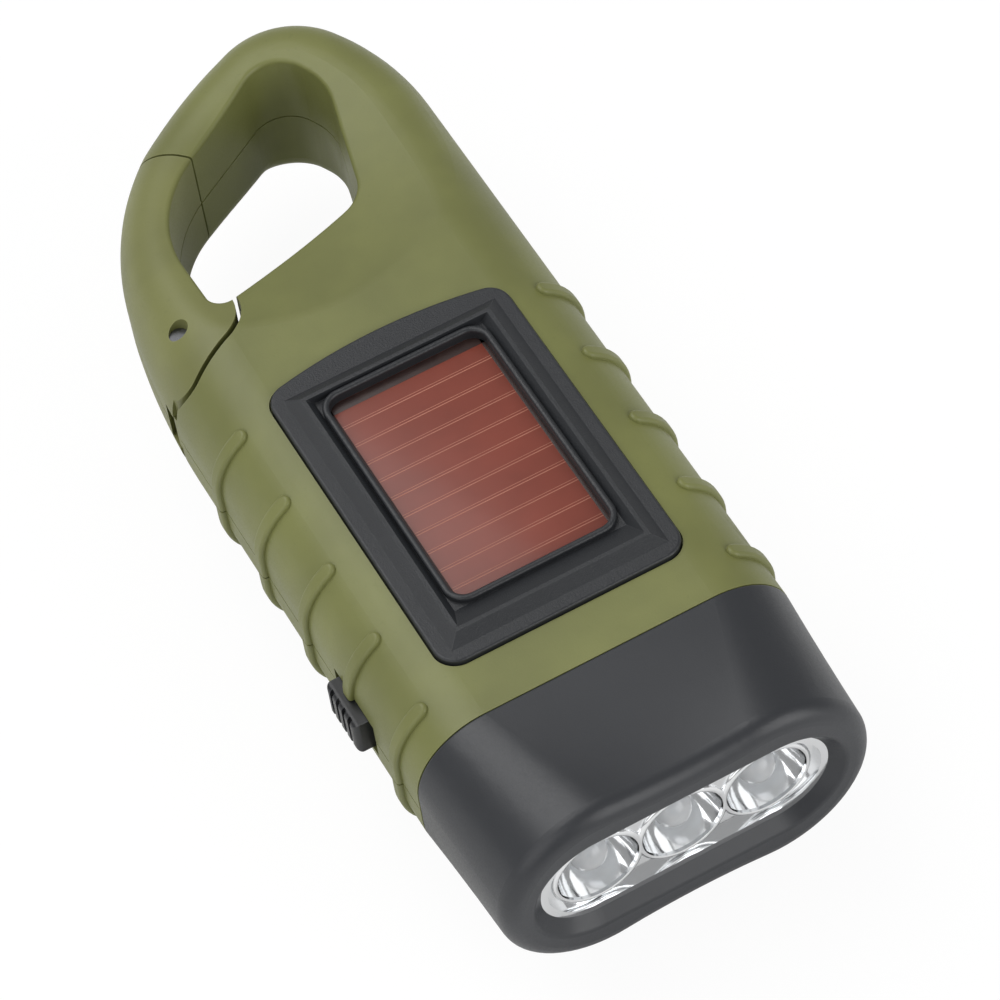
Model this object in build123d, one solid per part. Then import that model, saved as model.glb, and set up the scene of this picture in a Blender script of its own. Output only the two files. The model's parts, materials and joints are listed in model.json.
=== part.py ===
from build123d import *
import math
import os

# Hand crank flashlight with a carabiner end, lying on its back with the solar panel up.
# Millimetres. +Z is up, -Y is the lamp end and +Y is the carabiner end. The origin is the
# middle of the whole length and width, at the level of the surface that the crank lies on.
# Two moulded shells part on a flat plane at half height. The crank turns on the underside.

# ---- Overall body ----
body_length = 134.4
body_width = 51.0
body_thickness = 25.8
flank_radius = 10.0
wall = 2.2
seam_gap = 0.3
tail_gap = 0.7
groove_depth = 0.25
groove_height = 0.12
run_gap = 0.05
free_gap = 0.4
fixed_gap = 0.04
crank_level = 7.0
lobe_proud = 0.8

half_thickness = body_thickness / 2
parting_z = crank_level + lobe_proud + half_thickness
top_z = parting_z + half_thickness
bottom_z = parting_z - half_thickness
floor_z = bottom_z + wall
face_y = -body_length / 2
tip_y = body_length / 2

# ---- Plan of the carabiner end: arcs that turn clockwise from the left side to the right ----
shoulder_radius = 106.0
shoulder_turn = 12.0
side_radius = 40.0
side_turn = 34.0
hook_radius = 16.0
hook_turn = 8.0
slant_radius = 70.0
slant_turn = 12.0
nose_radius = 12.6
nose_turn = 84.0
cheek_radius = 33.0
cheek_turn = 30.0

# ---- Dished ring around the hand hole ----
dish_x = -1.0
dish_y = 43.8
dish_radius = 27.0
dish_floor_radius = 6.0
dish_slope = 11.0
dish_edge_radius = 6.0
hole_edge_radius = 0.6
hole_under_radius = 3.0

# ---- Hand hole, by its corners and corner radii ----
hole_left = -15.2
hole_right = 14.3
hole_near_y = 24.4
hole_far_y = 60.4
hole_near_rise = 7.6
hole_corner_inset = 5.0
hole_latch_y = 45.2
hole_latch_inset = 0.1
hole_sharp_radius = 2.0
hole_wide_radius = 9.0
hole_tip_radius = 5.0
hole_latch_radius = 20.0
hole_near_radius = 6.0
hole_tip_reach = 0.9
hole_tip_drop = 8.9

# ---- Gate ----
gate_x = -18.6
gate_y = 25.3
gate_knuckle = 6.7
gate_knuckle_overrun = 4.0
gate_tail_drop = 7.0
gate_tail_slope = 24.0
gate_tip_y = 56.6
gate_tip_x = -12.9
gate_tip_slope = 40.0
gate_hinge_x = -22.8
gate_hinge_radius = 2.6
gate_notch = 1.5
gate_notch_depth = 1.4
lug_radius = 2.4
lug_neck_width = 4.0
lug_neck_length = 5.5
lug_thickness = 6.0
hinge_pin_reach = 7.0
gate_pin_radius = 0.9
gate_screw_x = -20.4
gate_screw_y = 24.9
gate_screw_radius = 1.3
gate_screw_head = 2.6
gate_screw_head_height = 1.4
gate_screw_top_drop = 3.0
gate_screw_rise = 2.2
spring_wire = 0.4
spring_radius = 1.4
spring_turns = 3
spring_pitch = 0.55

# ---- Grip ribs on the flanks ----
rib_count = 5
rib_pitch = 11.8
rib_first_y = 4.7
rib_width = 2.0
rib_proud = 0.7
rib_inner_x = 20.4

# ---- Lamp head ----
head_length = 20.3
head_wall = 2.2
head_face_width = 49.6
head_lobe_radius = 14.1
head_waist_dip = 0.8
head_edge_radius = 2.4
head_seam_radius = 0.3
spigot_length = 4.5
spigot_wall = 1.6
lip_opening_length = 42.4
lip_opening_height = 18.0
lip_depth = 1.6
lip_back = 1.2
lip_edge_radius = 0.8
reflector_length = 39.0
reflector_height = 15.0
reflector_depth = 7.0
reflector_rim = 1.0
reflector_flange = 1.5
reflector_flange_thickness = 1.2
reflector_post_x = 16.4
reflector_post_radius = 1.2
led_pitch = 11.4
led_count = 3
cup_radius = 5.45
cup_floor_radius = 2.9
cup_rim = 0.5
led_radius = 2.5
led_height = 6.0
led_flange = 0.4
led_flange_height = 1.0
led_board_length = 37.6
led_board_height = 11.0
led_board_thickness = 1.2

# ---- Solar panel ----
bezel_width = 33.2
bezel_length = 47.3
bezel_end_y = -39.5
bezel_bow = 2.0
bezel_corner = 3.0
bezel_band_width = 1.8
bezel_proud = 0.7
bezel_seat = 1.1
bezel_gap = 0.2
ridge_height = 1.0
ridge_slope_width = 1.6
ridge_top_width = 0.5
window_width = 21.6
window_length = 34.6
window_y = -14.5
window_corner = 2.0
bead_width = 0.9
bead_height = 0.9
valley_drop = 0.1
cell_lap = 1.0
cell_drop = 0.1

# ---- Slide switch on the left flank ----
switch_y = -30.4
switch_slot_length = 10.2
switch_slot_height = 6.0
slider_length = 7.6
slider_proud = 2.0
slider_grooves = 4
slider_groove_depth = 0.5
slider_groove_width = 0.7
slider_travel = 2.2
slider_flange = 1.0
slider_stem = 1.6
switch_body_depth = 4.6
switch_body_height = 6.6
switch_body_length = 11.0
switch_ledge_width = 3.0

# ---- Gear train ----
hub_y = -23.2
gear_pressure_angle = 25.0
gear_addendum = 0.8
gear_dedendum = 1.05
gear_backlash = 0.2
gear_spread = 0.06
drive_module = 0.9
drive_teeth = 40
pinion_teeth = 10
middle_module = 0.7
middle_teeth = 34
fast_module = 0.6
fast_teeth = 30
gear_floor_gap = 1.2
drive_gear_width = 2.5
middle_gear_width = 2.0
fast_gear_width = 1.7
middle_direction = 72.0
fast_direction = 170.0
rotor_direction = -105.0
axle_radius = 0.75
shaft_radius = 3.0
bush_wall = 1.4
crank_boss_radius = 10.5
plate_thickness = 1.5
rotor_radius = 5.8
rotor_height = 4.8
can_radius = 9.6
can_wall = 1.0
can_height = 6.2
coil_inner_radius = 6.4
coil_height = 5.0
hub_pin_radius = 1.5
hub_boss_radius = 3.6
plate_margin = 2.2
plate_post_radius = 1.5
plate_post_x = 20.6
plate_post_y = -22.2
plate_rear_x = 19.2
plate_rear_y = 6.8

# ---- Crank ----
crank_reach = 44.0
crank_hub_radius = 10.2
crank_tip_radius = 8.2
crank_tip_reach = 4.6
crank_tip_corner = 3.0
crank_thickness = 6.6
crank_edge_radius = 0.9
knob_radius = 3.1
knob_length = 22.0
knob_side_gap = 0.9
knob_axle_radius = 1.3
hinge_pin_radius = 1.1
hinge_eye_radius = 2.9
crank_cap_radius = 6.6
crank_cap_thickness = 1.0
crank_screw_radius = 1.5
crank_screw_head = 2.8
crank_screw_head_height = 1.4
crank_square = 4.2
crank_web = 0.8
crank_screw_bore = 8.0
hinge_offset = 4.2
knob_cap_radius = 2.5
knob_cap_length = 1.2

# ---- Boards, battery and fasteners ----
board_thickness = 1.4
board_width = 29.0
board_length = 42.0
board_y = -14.7
board_drop = 2.4
board_post_radius = 1.8
board_post_inset = 2.5
battery_radius = 10.0
battery_height = 6.6
battery_cells = 2
battery_gap = 0.2
battery_x = 0.8
battery_y = -39.5
battery_tray = 0.8
battery_tray_rim = 2.4
battery_leg = 2.0
case_screw_radius = 1.2
case_screw_head = 2.2
case_screw_head_height = 1.4
case_screw_drop = 1.0
case_screw_length = 20.0
case_boss_radius = 3.4
case_screw_x = 15.2
case_screw_front_y = -41.2
case_screw_rear_y = 12.8
nose_screw_x = 18.6
nose_screw_y = 46.0

seam_y = face_y + head_length
cavity_end_y = 15.0


def turn_reach(radius, heading, turn):
    """Travel in X along a clockwise arc."""
    return radius * (math.sin(math.radians(heading)) - math.sin(math.radians(heading - turn)))


def turn_rise(radius, heading, turn):
    """Travel in Y along a clockwise arc."""
    return radius * (math.cos(math.radians(heading - turn)) - math.cos(math.radians(heading)))


def plan_turns():
    """The arcs of the carabiner end as radius, turn and the heading where each starts."""
    heading = 90.0
    turns = []
    for radius, turn in (
        (shoulder_radius, shoulder_turn),
        (side_radius, side_turn),
        (hook_radius, hook_turn),
        (slant_radius, slant_turn),
        (nose_radius, nose_turn),
        (cheek_radius, cheek_turn),
    ):
        turns.append((radius, turn, heading))
        heading -= turn
    return turns


def slant_straight():
    """Straight run before the nose, as long as the body's width needs."""
    heading = 90.0 - shoulder_turn - side_turn - hook_turn - slant_turn
    reach = sum(turn_reach(radius, start, turn) for radius, turn, start in plan_turns())
    return (body_width - reach) / math.cos(math.radians(heading))


def left_side_end():
    """Y where the straight left side ends, so that the nose reaches tip_y."""
    rise = 0.0
    for radius, turn, heading in plan_turns()[:4]:
        rise += turn_rise(radius, heading, turn)
    heading = 90.0 - shoulder_turn - side_turn - hook_turn - slant_turn
    rise += slant_straight() * math.sin(math.radians(heading))
    rise += nose_radius * (1 - math.cos(math.radians(heading)))
    return tip_y - rise


def plan_outline(inset, near_y):
    """Plan of the body, drawn in by inset and cut off at near_y."""
    left_x = -body_width / 2 + inset
    edges = [Line((left_x, near_y), (left_x, left_side_end()))]
    for index, (radius, turn, heading) in enumerate(plan_turns()):
        if index == 4:
            end = edges[-1] @ 1
            run = edges[-1] % 1
            edges.append(Line(end, end + run * slant_straight()))
        edges.append(JernArc(edges[-1] @ 1, edges[-1] % 1, radius - inset, -turn))
    end = edges[-1] @ 1
    edges.append(Line(end, (end.X, near_y)))
    edges.append(Line((end.X, near_y), (left_x, near_y)))
    return make_face(Wire(edges))


def body_half(inset, near_y):
    """Upper half of a body drawn in by inset, with its rounded flank."""
    height = half_thickness - inset
    block = extrude(Pos(0, 0, parting_z) * plan_outline(inset, near_y), height)
    rim = block.edges().group_by(Axis.Z)[-1].filter_by(lambda e: e.center().Y > near_y + 1)
    return fillet(rim, flank_radius - inset)


def hole_outline():
    """The hand hole in plan: five corners, each with its own radius."""
    near_right = (hole_right - hole_corner_inset, hole_near_y + hole_near_rise)
    tip = (hole_right - hole_corner_inset + hole_tip_reach, hole_far_y)
    latch = (hole_left + hole_latch_inset, hole_latch_y)
    corners = [
        (hole_left, hole_near_y),
        near_right,
        (hole_right, hole_far_y - hole_tip_drop),
        tip,
        latch,
    ]
    radii = [hole_sharp_radius, hole_near_radius, hole_wide_radius, hole_tip_radius, hole_latch_radius]
    return make_face(FilletPolyline(*corners, radius=radii, close=True))


def hole_prism():
    """The hand hole's space through the whole thickness."""
    return extrude(Pos(0, 0, parting_z - half_thickness - 1) * hole_outline(), body_thickness + 2)


def dish_cutter():
    """Shallow cone that sinks the ring around the hand hole."""
    slope = math.tan(math.radians(dish_slope))
    height = (dish_radius - dish_floor_radius) * slope
    margin = 2.0
    cone = Cone(dish_floor_radius, dish_radius + margin / slope, height + margin)
    return Pos(dish_x, dish_y, top_z - height + (height + margin) / 2) * cone


def on_cone(point):
    """True for a point on the dish's cone."""
    distance = math.hypot(point.X - dish_x, point.Y - dish_y)
    height = top_z - (dish_radius - distance) * math.tan(math.radians(dish_slope))
    return abs(point.Z - height) < 0.01


def on_dish_rim(edge):
    """True for an edge where the dish meets the top or the flank."""
    middle = edge.position_at(0.5)
    distance = math.hypot(middle.X - dish_x, middle.Y - dish_y)
    return on_cone(middle) and distance > dish_floor_radius + 2


def on_hole_wall(edge):
    """True for an edge of the dish that lies on the hand hole's wall."""
    wire = hole_outline().face().outer_wire()
    for share in (0.1, 0.5, 0.9):
        point = edge.position_at(share)
        if point.Z < parting_z + 5 or wire.distance_to(Vertex(point.X, point.Y, 0)) > 0.02:
            return False
    return True


def ring_half(hole_radius):
    """Upper half of the whole solid body, dished and holed, before it is split into pieces."""
    solid = body_half(0, seam_y) - dish_cutter()
    solid = fillet(solid.edges().filter_by(on_dish_rim), dish_edge_radius)
    solid -= hole_prism()
    return fillet(solid.edges().filter_by(on_hole_wall), hole_radius)


def polar(centre, radius, angle):
    """Point at a radius and an angle in degrees from a centre in plan."""
    turn = math.radians(angle)
    return Vector(centre[0] + radius * math.cos(turn), centre[1] + radius * math.sin(turn))


def knuckle_low():
    """Plan point where the seam leaves the round knuckle for the gate's tail."""
    return polar((gate_x, gate_y), gate_knuckle, gate_tail_slope - 90 - gate_knuckle_overrun)


def gate_hinge():
    """Plan position of the gate's hinge, where its knuckle touches the seam and the flank."""
    slope = math.radians(gate_tail_slope)
    low = knuckle_low()
    run = (low.X - gate_hinge_radius * math.sin(slope) - gate_hinge_x) / math.cos(slope)
    return (gate_hinge_x, low.Y - run * math.sin(slope) + gate_hinge_radius * math.cos(slope))


def gate_zone(tip_gap, gap):
    """Space of the gate in plan, drawn back along its seams at the tip and at the tail."""
    tip_angle = math.radians(gate_tip_slope)
    out = 30.0
    tip = Vector(gate_tip_x, gate_tip_y) + Vector(-math.sin(tip_angle), -math.cos(tip_angle)) * tip_gap
    along = Vector(math.cos(tip_angle), -math.sin(tip_angle))
    centre = (gate_x, gate_y)
    knuckle = gate_knuckle - gap
    start = polar(centre, knuckle, 12)
    middle = polar(centre, knuckle, -30)
    low = polar(centre, knuckle, gate_tail_slope - 90 - gate_knuckle_overrun)
    hinge = gate_hinge()
    touch = polar(hinge, gate_hinge_radius - gap, gate_tail_slope - 90)
    inner = tip + along * 11
    bend = Vector(hole_left + 8, gate_y + 10)
    edges = [
        Line(tip - along * out, inner),
        Line(inner, bend),
        Line(bend, start),
        ThreePointArc(start, middle, low),
        Line(low, touch),
        Line(touch, Vector(*hinge)),
        Line(Vector(*hinge), Vector(-body_width / 2 - out, hinge[1])),
        Line(Vector(-body_width / 2 - out, hinge[1]), tip - along * out),
    ]
    return make_face(Wire(edges)) + Pos(*hinge) * Circle(gate_hinge_radius - gap)


def gate_space(tip_gap, gap):
    """The gate's zone as a prism through the upper half."""
    return extrude(Pos(0, 0, parting_z - 1) * gate_zone(tip_gap, gap), half_thickness + 3)


def tail_notch():
    """Room that the gate's tail needs in the body's flank when it swings out."""
    x, y = gate_hinge()
    right = x - gate_notch
    return box_between(right - 20, right, y - gate_notch_depth, y + 1, parting_z - 1, top_z + 1)


def z_prism(face, low, high):
    """Prism of a plan between two heights."""
    return extrude(Pos(0, 0, low) * face, high - low)


def cylinder_z(radius, x, y, low, high):
    """Upright cylinder between two heights."""
    return Pos(x, y, (low + high) / 2) * Cylinder(radius, high - low)


def box_between(x_low, x_high, y_low, y_high, z_low, z_high):
    """Box by its limits."""
    size = (x_high - x_low, y_high - y_low, z_high - z_low)
    middle = ((x_low + x_high) / 2, (y_low + y_high) / 2, (z_low + z_high) / 2)
    return Pos(*middle) * Box(*size)


def lower(half):
    """The lower copy of a piece of the upper half."""
    return mirror(half, about=Plane.XY.offset(parting_z))


# ---- Shells ----
def rib_positions():
    """Y of each rib's near side."""
    return [rib_first_y - index * rib_pitch for index in range(rib_count)]


def on_rib_back(edge):
    """True for a rib's edge that isn't on the parting plane or its hidden inner side."""
    low = min(edge.position_at(share).Z for share in (0, 0.5, 1))
    high = max(edge.position_at(share).Z for share in (0, 0.5, 1))
    near = min(abs(edge.position_at(share).X) for share in (0, 0.5, 1))
    far = max(abs(edge.position_at(share).X) for share in (0, 0.5, 1))
    on_parting = high < parting_z + 0.01
    on_inner_wall = far < rib_inner_x + 0.01 and low < parting_z + 0.01
    across = far - near < 0.01 and high - low < 0.01
    return not on_parting and not on_inner_wall and not (across and near > rib_inner_x + 0.01)


def grip_ribs():
    """Raised ribs across both flanks of the upper half."""
    raised = body_half(-rib_proud, seam_y)
    ribs = []
    for y in rib_positions():
        for side in (-1, 1):
            length = body_width / 2 + 2 * rib_proud - rib_inner_x + rib_width
            middle = side * (rib_inner_x + length / 2)
            plan = Pos(middle, y + rib_width / 2) * SlotOverall(length, rib_width)
            rib = raised & z_prism(plan, parting_z, top_z + 2)
            ribs.append(fillet(rib.edges().filter_by(on_rib_back), rib_proud * 0.7))
    return ribs


def parting_groove():
    """Shallow groove that shows round the flank and the hand hole where the halves meet."""
    outer = plan_outline(-2, seam_y) - plan_outline(groove_depth, seam_y - 1)
    inner = offset(hole_outline(), groove_depth)
    return z_prism(outer + inner, parting_z - 1, parting_z + groove_height)


def shell_half(hole_radius):
    """Half of the housing: hollow over the works, solid round the hand hole."""
    shell = ring_half(hole_radius)
    for rib in grip_ribs():
        shell += rib
    spigot_inset = head_wall + fixed_gap
    spigot_end = seam_y - spigot_length
    spigot = body_half(spigot_inset, spigot_end)
    shell += spigot & box_between(-body_width, body_width, spigot_end, seam_y + 1, parting_z, top_z)
    works = body_half(wall, seam_y)
    web = wall
    shell -= works & box_between(-body_width, body_width, seam_y + web, cavity_end_y, parting_z - 1, top_z)
    mouth = body_half(spigot_inset + spigot_wall, spigot_end - 1)
    shell -= mouth & box_between(-body_width, body_width, spigot_end - 1, seam_y + web + 1, parting_z - 1, top_z)
    for x, y in case_screws()[:4]:
        boss = cylinder_z(case_boss_radius, x, y, parting_z, top_z - wall / 2)
        shell += boss
    shell -= gate_space(0, 0)
    shell -= tail_notch()
    shell -= parting_groove()
    return shell + lug_half()


def lug_half():
    """Upper half of the lug that the gate swings on, with its pin hole."""
    neck = Rectangle(lug_neck_length, lug_neck_width, align=(Align.MIN, Align.CENTER))
    plan = Circle(lug_radius) + Rot(0, 0, gate_tail_slope - 90) * neck
    plan = Pos(*gate_hinge()) * (plan - Circle(gate_pin_radius + run_gap))
    return z_prism(plan, parting_z, parting_z + lug_thickness / 2)


def case_screws():
    """Plan positions of the screws that hold the shells together."""
    return [
        (-case_screw_x, case_screw_front_y),
        (case_screw_x, case_screw_front_y),
        (-case_screw_x, case_screw_rear_y),
        (case_screw_x, case_screw_rear_y),
        (nose_screw_x, nose_screw_y),
    ]


def screw_head_bottom(index):
    """Height of a case screw's lowest face."""
    rise = case_screw_drop + (1.5 if index == 4 else 0.0)
    return bottom_z + rise


def case_screw(index):
    """One self-tapping screw, driven from the underside."""
    x, y = case_screws()[index]
    start = screw_head_bottom(index)
    head = cylinder_z(case_screw_head, x, y, start, start + case_screw_head_height)
    head -= box_between(x - 1.6, x + 1.6, y - 0.3, y + 0.3, start - 1, start + 0.6)
    head -= box_between(x - 0.3, x + 0.3, y - 1.6, y + 1.6, start - 1, start + 0.6)
    shank = cylinder_z(case_screw_radius, x, y, start + case_screw_head_height, start + case_screw_length)
    return head + shank


def screw_space(index):
    """Hole and counterbore for one case screw."""
    x, y = case_screws()[index]
    start = screw_head_bottom(index)
    head_radius = case_screw_head + 0.1
    seat = start + case_screw_head_height
    space = cylinder_z(head_radius, x, y, bottom_z - 5, seat)
    return space + cylinder_z(case_screw_radius + fixed_gap, x, y, seat, start + case_screw_length + 0.2)


def switch_slot():
    """Slot for the slider through the left flank."""
    half = switch_slot_length / 2
    inner = -body_width / 2 + wall + 1
    high = parting_z + switch_slot_height / 2
    low = parting_z - switch_slot_height / 2
    return box_between(-body_width, inner, switch_y - half, switch_y + half, low, high)


def bezel_plan(drawn_in):
    """Plan of the bezel: straight sides and a bowed far edge."""
    half = bezel_width / 2 - drawn_in
    near = bezel_end_y + drawn_in
    far = bezel_end_y + bezel_length - drawn_in
    edges = [
        Line((-half, far), (-half, near)),
        Line((-half, near), (half, near)),
        Line((half, near), (half, far)),
        ThreePointArc((half, far), (0, far + bezel_bow), (-half, far)),
    ]
    face = make_face(Wire(edges))
    return fillet(face.vertices(), bezel_corner - drawn_in * 0.6)


def upper_shell():
    """Upper moulded shell with the panel's seat."""
    shell = shell_half(hole_edge_radius)
    roof = top_z - wall
    post_low = roof - board_drop
    for x, y in board_posts():
        shell += cylinder_z(board_post_radius, x, y, post_low, roof + wall / 3)
    shell -= z_prism(bezel_plan(-bezel_gap), top_z - bezel_seat, top_z + 1)
    for index in range(len(case_screws())):
        shell -= screw_space(index)
    return shell - switch_slot()


def board_posts():
    """Plan positions of the posts that carry the main board."""
    x = board_width / 2 - board_post_inset
    y = board_length / 2 - board_post_inset
    return [(sx * x, board_y + sy * y) for sx in (-1, 1) for sy in (-1, 1)]


def lower_shell():
    """Lower moulded shell with the crank's boss and the gearbox posts."""
    shell = lower(shell_half(hole_under_radius))
    for x, y in plate_posts():
        shell += cylinder_z(plate_post_radius, x, y, floor_z - wall / 2, plate_z()) - outside_works()
    for (x, y), top in axle_seats():
        shell += cylinder_z(axle_radius + 1.1, x, y, floor_z - wall / 2, top)
    shell += cylinder_z(crank_boss_radius, 0, hub_y, crank_level, bottom_z + 0.5)
    ledge_y = switch_y - switch_body_length / 2
    ledge_top = parting_z - switch_body_height / 2
    shell += box_between(
        switch_outer_x(),
        switch_inner_x(),
        ledge_y,
        ledge_y + switch_ledge_width,
        floor_z - wall / 3,
        ledge_top,
    ) - outside_works()
    shell -= cylinder_z(shaft_radius + bush_wall + fixed_gap, 0, hub_y, crank_level - 1, floor_z + 1)
    for (x, y), top in axle_seats():
        shell -= cylinder_z(axle_radius + fixed_gap, x, y, floor_z - wall / 3, top + 1)
    for index in range(len(case_screws())):
        shell -= screw_space(index)
    return shell - switch_slot()


def outside_works():
    """Everything below the floor's rounded flank, to trim what stands on it."""
    block = box_between(-body_width, body_width, seam_y, cavity_end_y, bottom_z - 2, parting_z)
    return block - lower(body_half(wall / 2, seam_y))


# ---- Gate ----
def gate_half(hole_radius):
    """Upper half of the gate, cleared for the lug and bored for its pin and screw."""
    x, y = gate_hinge()
    shell = (ring_half(hole_radius) & gate_space(seam_gap, tail_gap)) - parting_groove()
    pocket_top = parting_z + lug_thickness / 2 + seam_gap
    shell -= cylinder_z(lug_radius + 1, x, y, parting_z - 1, pocket_top)
    shell -= cylinder_z(gate_pin_radius + fixed_gap, x, y, parting_z, parting_z + hinge_pin_reach + 0.1)
    return shell - cylinder_z(gate_screw_radius + fixed_gap, gate_screw_x, gate_screw_y, parting_z - 1, top_z)


def gate_upper():
    """Upper half of the spring gate, with room for the spring on its pin."""
    x, y = gate_hinge()
    room = spring_radius + spring_wire
    return gate_half(hole_edge_radius) - cylinder_z(room, x, y, parting_z, spring_base() + spring_turns * spring_pitch + spring_wire)


def gate_lower():
    """Lower half of the spring gate, with the counterbore of its screw."""
    seat = gate_screw_z() + gate_screw_head_height
    return lower(gate_half(hole_under_radius)) - cylinder_z(gate_screw_head + 0.1, gate_screw_x, gate_screw_y, bottom_z - 1, seat)


def gate_screw_z():
    """Height of the gate screw's lowest face."""
    return bottom_z + gate_screw_rise


def gate_screw():
    """Screw that joins the gate's halves, its end showing in the upper hole."""
    start = gate_screw_z()
    head_top = start + gate_screw_head_height
    x, y = gate_screw_x, gate_screw_y
    head = cylinder_z(gate_screw_head, x, y, start, head_top)
    head -= box_between(x - 1.8, x + 1.8, y - 0.3, y + 0.3, start - 1, start + 0.6)
    head -= box_between(x - 0.3, x + 0.3, y - 1.8, y + 1.8, start - 1, start + 0.6)
    return head + cylinder_z(gate_screw_radius, x, y, head_top, top_z - gate_screw_top_drop)


def gate_hinge_pin():
    """Hidden pin that the gate swings on."""
    x, y = gate_hinge()
    return cylinder_z(gate_pin_radius, x, y, parting_z - hinge_pin_reach, parting_z + hinge_pin_reach)


def spring_base():
    """Height of the spring's underside, just over the lug."""
    return parting_z + lug_thickness / 2 + 0.15


def gate_spring():
    """Torsion spring round the hinge pin, above the lug."""
    x, y = gate_hinge()
    helix = Helix(spring_pitch, spring_pitch * spring_turns, spring_radius)
    path = Pos(x, y, spring_base() + spring_wire / 2) * helix
    start = Plane(origin=path @ 0, z_dir=path % 0)
    return sweep(start * Circle(spring_wire / 2), path=path)


# ---- Lamp head ----
def body_section(y, inset):
    """The body's section at y, drawn in by inset."""
    half_x = body_width / 2 - inset
    half_z = half_thickness - inset
    radius = flank_radius - inset
    bend = radius * (1 - math.sqrt(0.5))
    flat_x = half_x - radius
    flat_z = half_z - radius
    right = [(flat_x, half_z), (half_x - bend, half_z - bend), (half_x, flat_z)]
    right += [(half_x, -flat_z), (half_x - bend, -half_z + bend), (flat_x, -half_z)]
    return section_face(y, right, (0, half_z))


def lamp_section(y, inset):
    """The lamp face's section: two round lobes joined by a slightly hollow waist."""
    radius = head_lobe_radius - inset
    centre = head_face_width / 2 - head_lobe_radius
    waist = radius - head_waist_dip
    hollow = (centre**2 + waist**2 - radius**2) / (2 * (radius - waist))
    rise = waist + hollow
    joint_angle = math.atan2(rise, -centre)
    side_angle = math.radians(15.0)
    angles = [joint_angle, (joint_angle + side_angle) / 2, side_angle]
    upper = [(centre + radius * math.cos(a), radius * math.sin(a)) for a in angles]
    lower_half = [(x, -z) for x, z in reversed(upper)]
    return section_face(y, upper + lower_half, (0, waist), centre + radius)


def section_face(y, right, top_middle, side_x=None):
    """Closed section at y from its right side's points, mirrored to the left."""
    def place(point, side=1):
        return (side * point[0], y, parting_z + point[1])

    def side_edge(side):
        if side_x is None:
            return Line(place(right[2], side), place(right[3], side))
        return ThreePointArc(place(right[2], side), place((side_x, 0), side), place(right[3], side))

    def cross(point, middle):
        if side_x is None:
            return Line(place(point, -1), place(point))
        return ThreePointArc(place(point, -1), place(middle), place(point))

    edges = [
        cross(right[0], top_middle),
        ThreePointArc(place(right[0]), place(right[1]), place(right[2])),
        side_edge(1),
        ThreePointArc(place(right[3]), place(right[4]), place(right[5])),
        cross(right[5], (0, -top_middle[1])),
        ThreePointArc(place(right[3], -1), place(right[4], -1), place(right[5], -1)),
        side_edge(-1),
        ThreePointArc(place(right[0], -1), place(right[1], -1), place(right[2], -1)),
    ]
    return make_face(Wire(edges))


def y_prism(face, near_y, length):
    """Prism of a sketch in X and Z, from near_y towards +Y."""
    plane = Plane(origin=(0, near_y, parting_z), x_dir=(1, 0, 0), z_dir=(0, -1, 0))
    return extrude(plane * face, -length)


def stadium(length, height):
    """Stadium with its long side along X."""
    return SlotOverall(length, height)


def head_cap():
    """Black lamp head with its lip, hollow behind the front wall."""
    cap = loft([body_section(seam_y, 0), lamp_section(face_y, 0)])
    cap = fillet(cap.edges().group_by(Axis.Y)[0], head_edge_radius)
    cap = fillet(cap.edges().group_by(Axis.Y)[-1], head_seam_radius)
    wall_back = face_y + lip_depth + lip_back
    hollow = loft([body_section(seam_y + 0.01, head_wall), lamp_section(face_y, head_wall)])
    cap -= hollow & box_between(-body_width, body_width, wall_back, seam_y + 1, 0, 2 * top_z)
    socket_y = seam_y - spigot_length - free_gap
    cap -= loft([body_section(socket_y, head_wall), body_section(seam_y + 1, head_wall)])
    near = stadium(lip_opening_length, lip_opening_height)
    far = stadium(reflector_length, reflector_height)
    mouth = loft([y_plane(face_y) * near, y_plane(face_y + lip_depth) * far])
    cap -= mouth
    cap -= y_prism(far, face_y + lip_depth - 0.01, lip_back + 1)
    rim = cap.edges().group_by(Axis.Y)[0].filter_by(lambda e: abs(e.center().X) < lip_opening_length / 2)
    rim = [e for e in rim if abs(e.center().Z - parting_z) < lip_opening_height / 2 + 0.2]
    return fillet(rim, lip_edge_radius)


def y_plane(y):
    """Plane across the body at y, with the sketch's Y up."""
    return Plane(origin=(0, y, parting_z), x_dir=(1, 0, 0), z_dir=(0, -1, 0))


def led_positions():
    """X of each lamp."""
    return [led_pitch * (index - (led_count - 1) / 2) for index in range(led_count)]


def cylinder_y(radius, x, near_y, far_y):
    """Cylinder along Y at the parting plane's height."""
    middle = (near_y + far_y) / 2
    return Pos(x, middle, parting_z) * Rot(90, 0, 0) * Cylinder(radius, far_y - near_y)


def reflector_back():
    """Y of the reflector's back."""
    return face_y + lip_depth + reflector_depth


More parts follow.
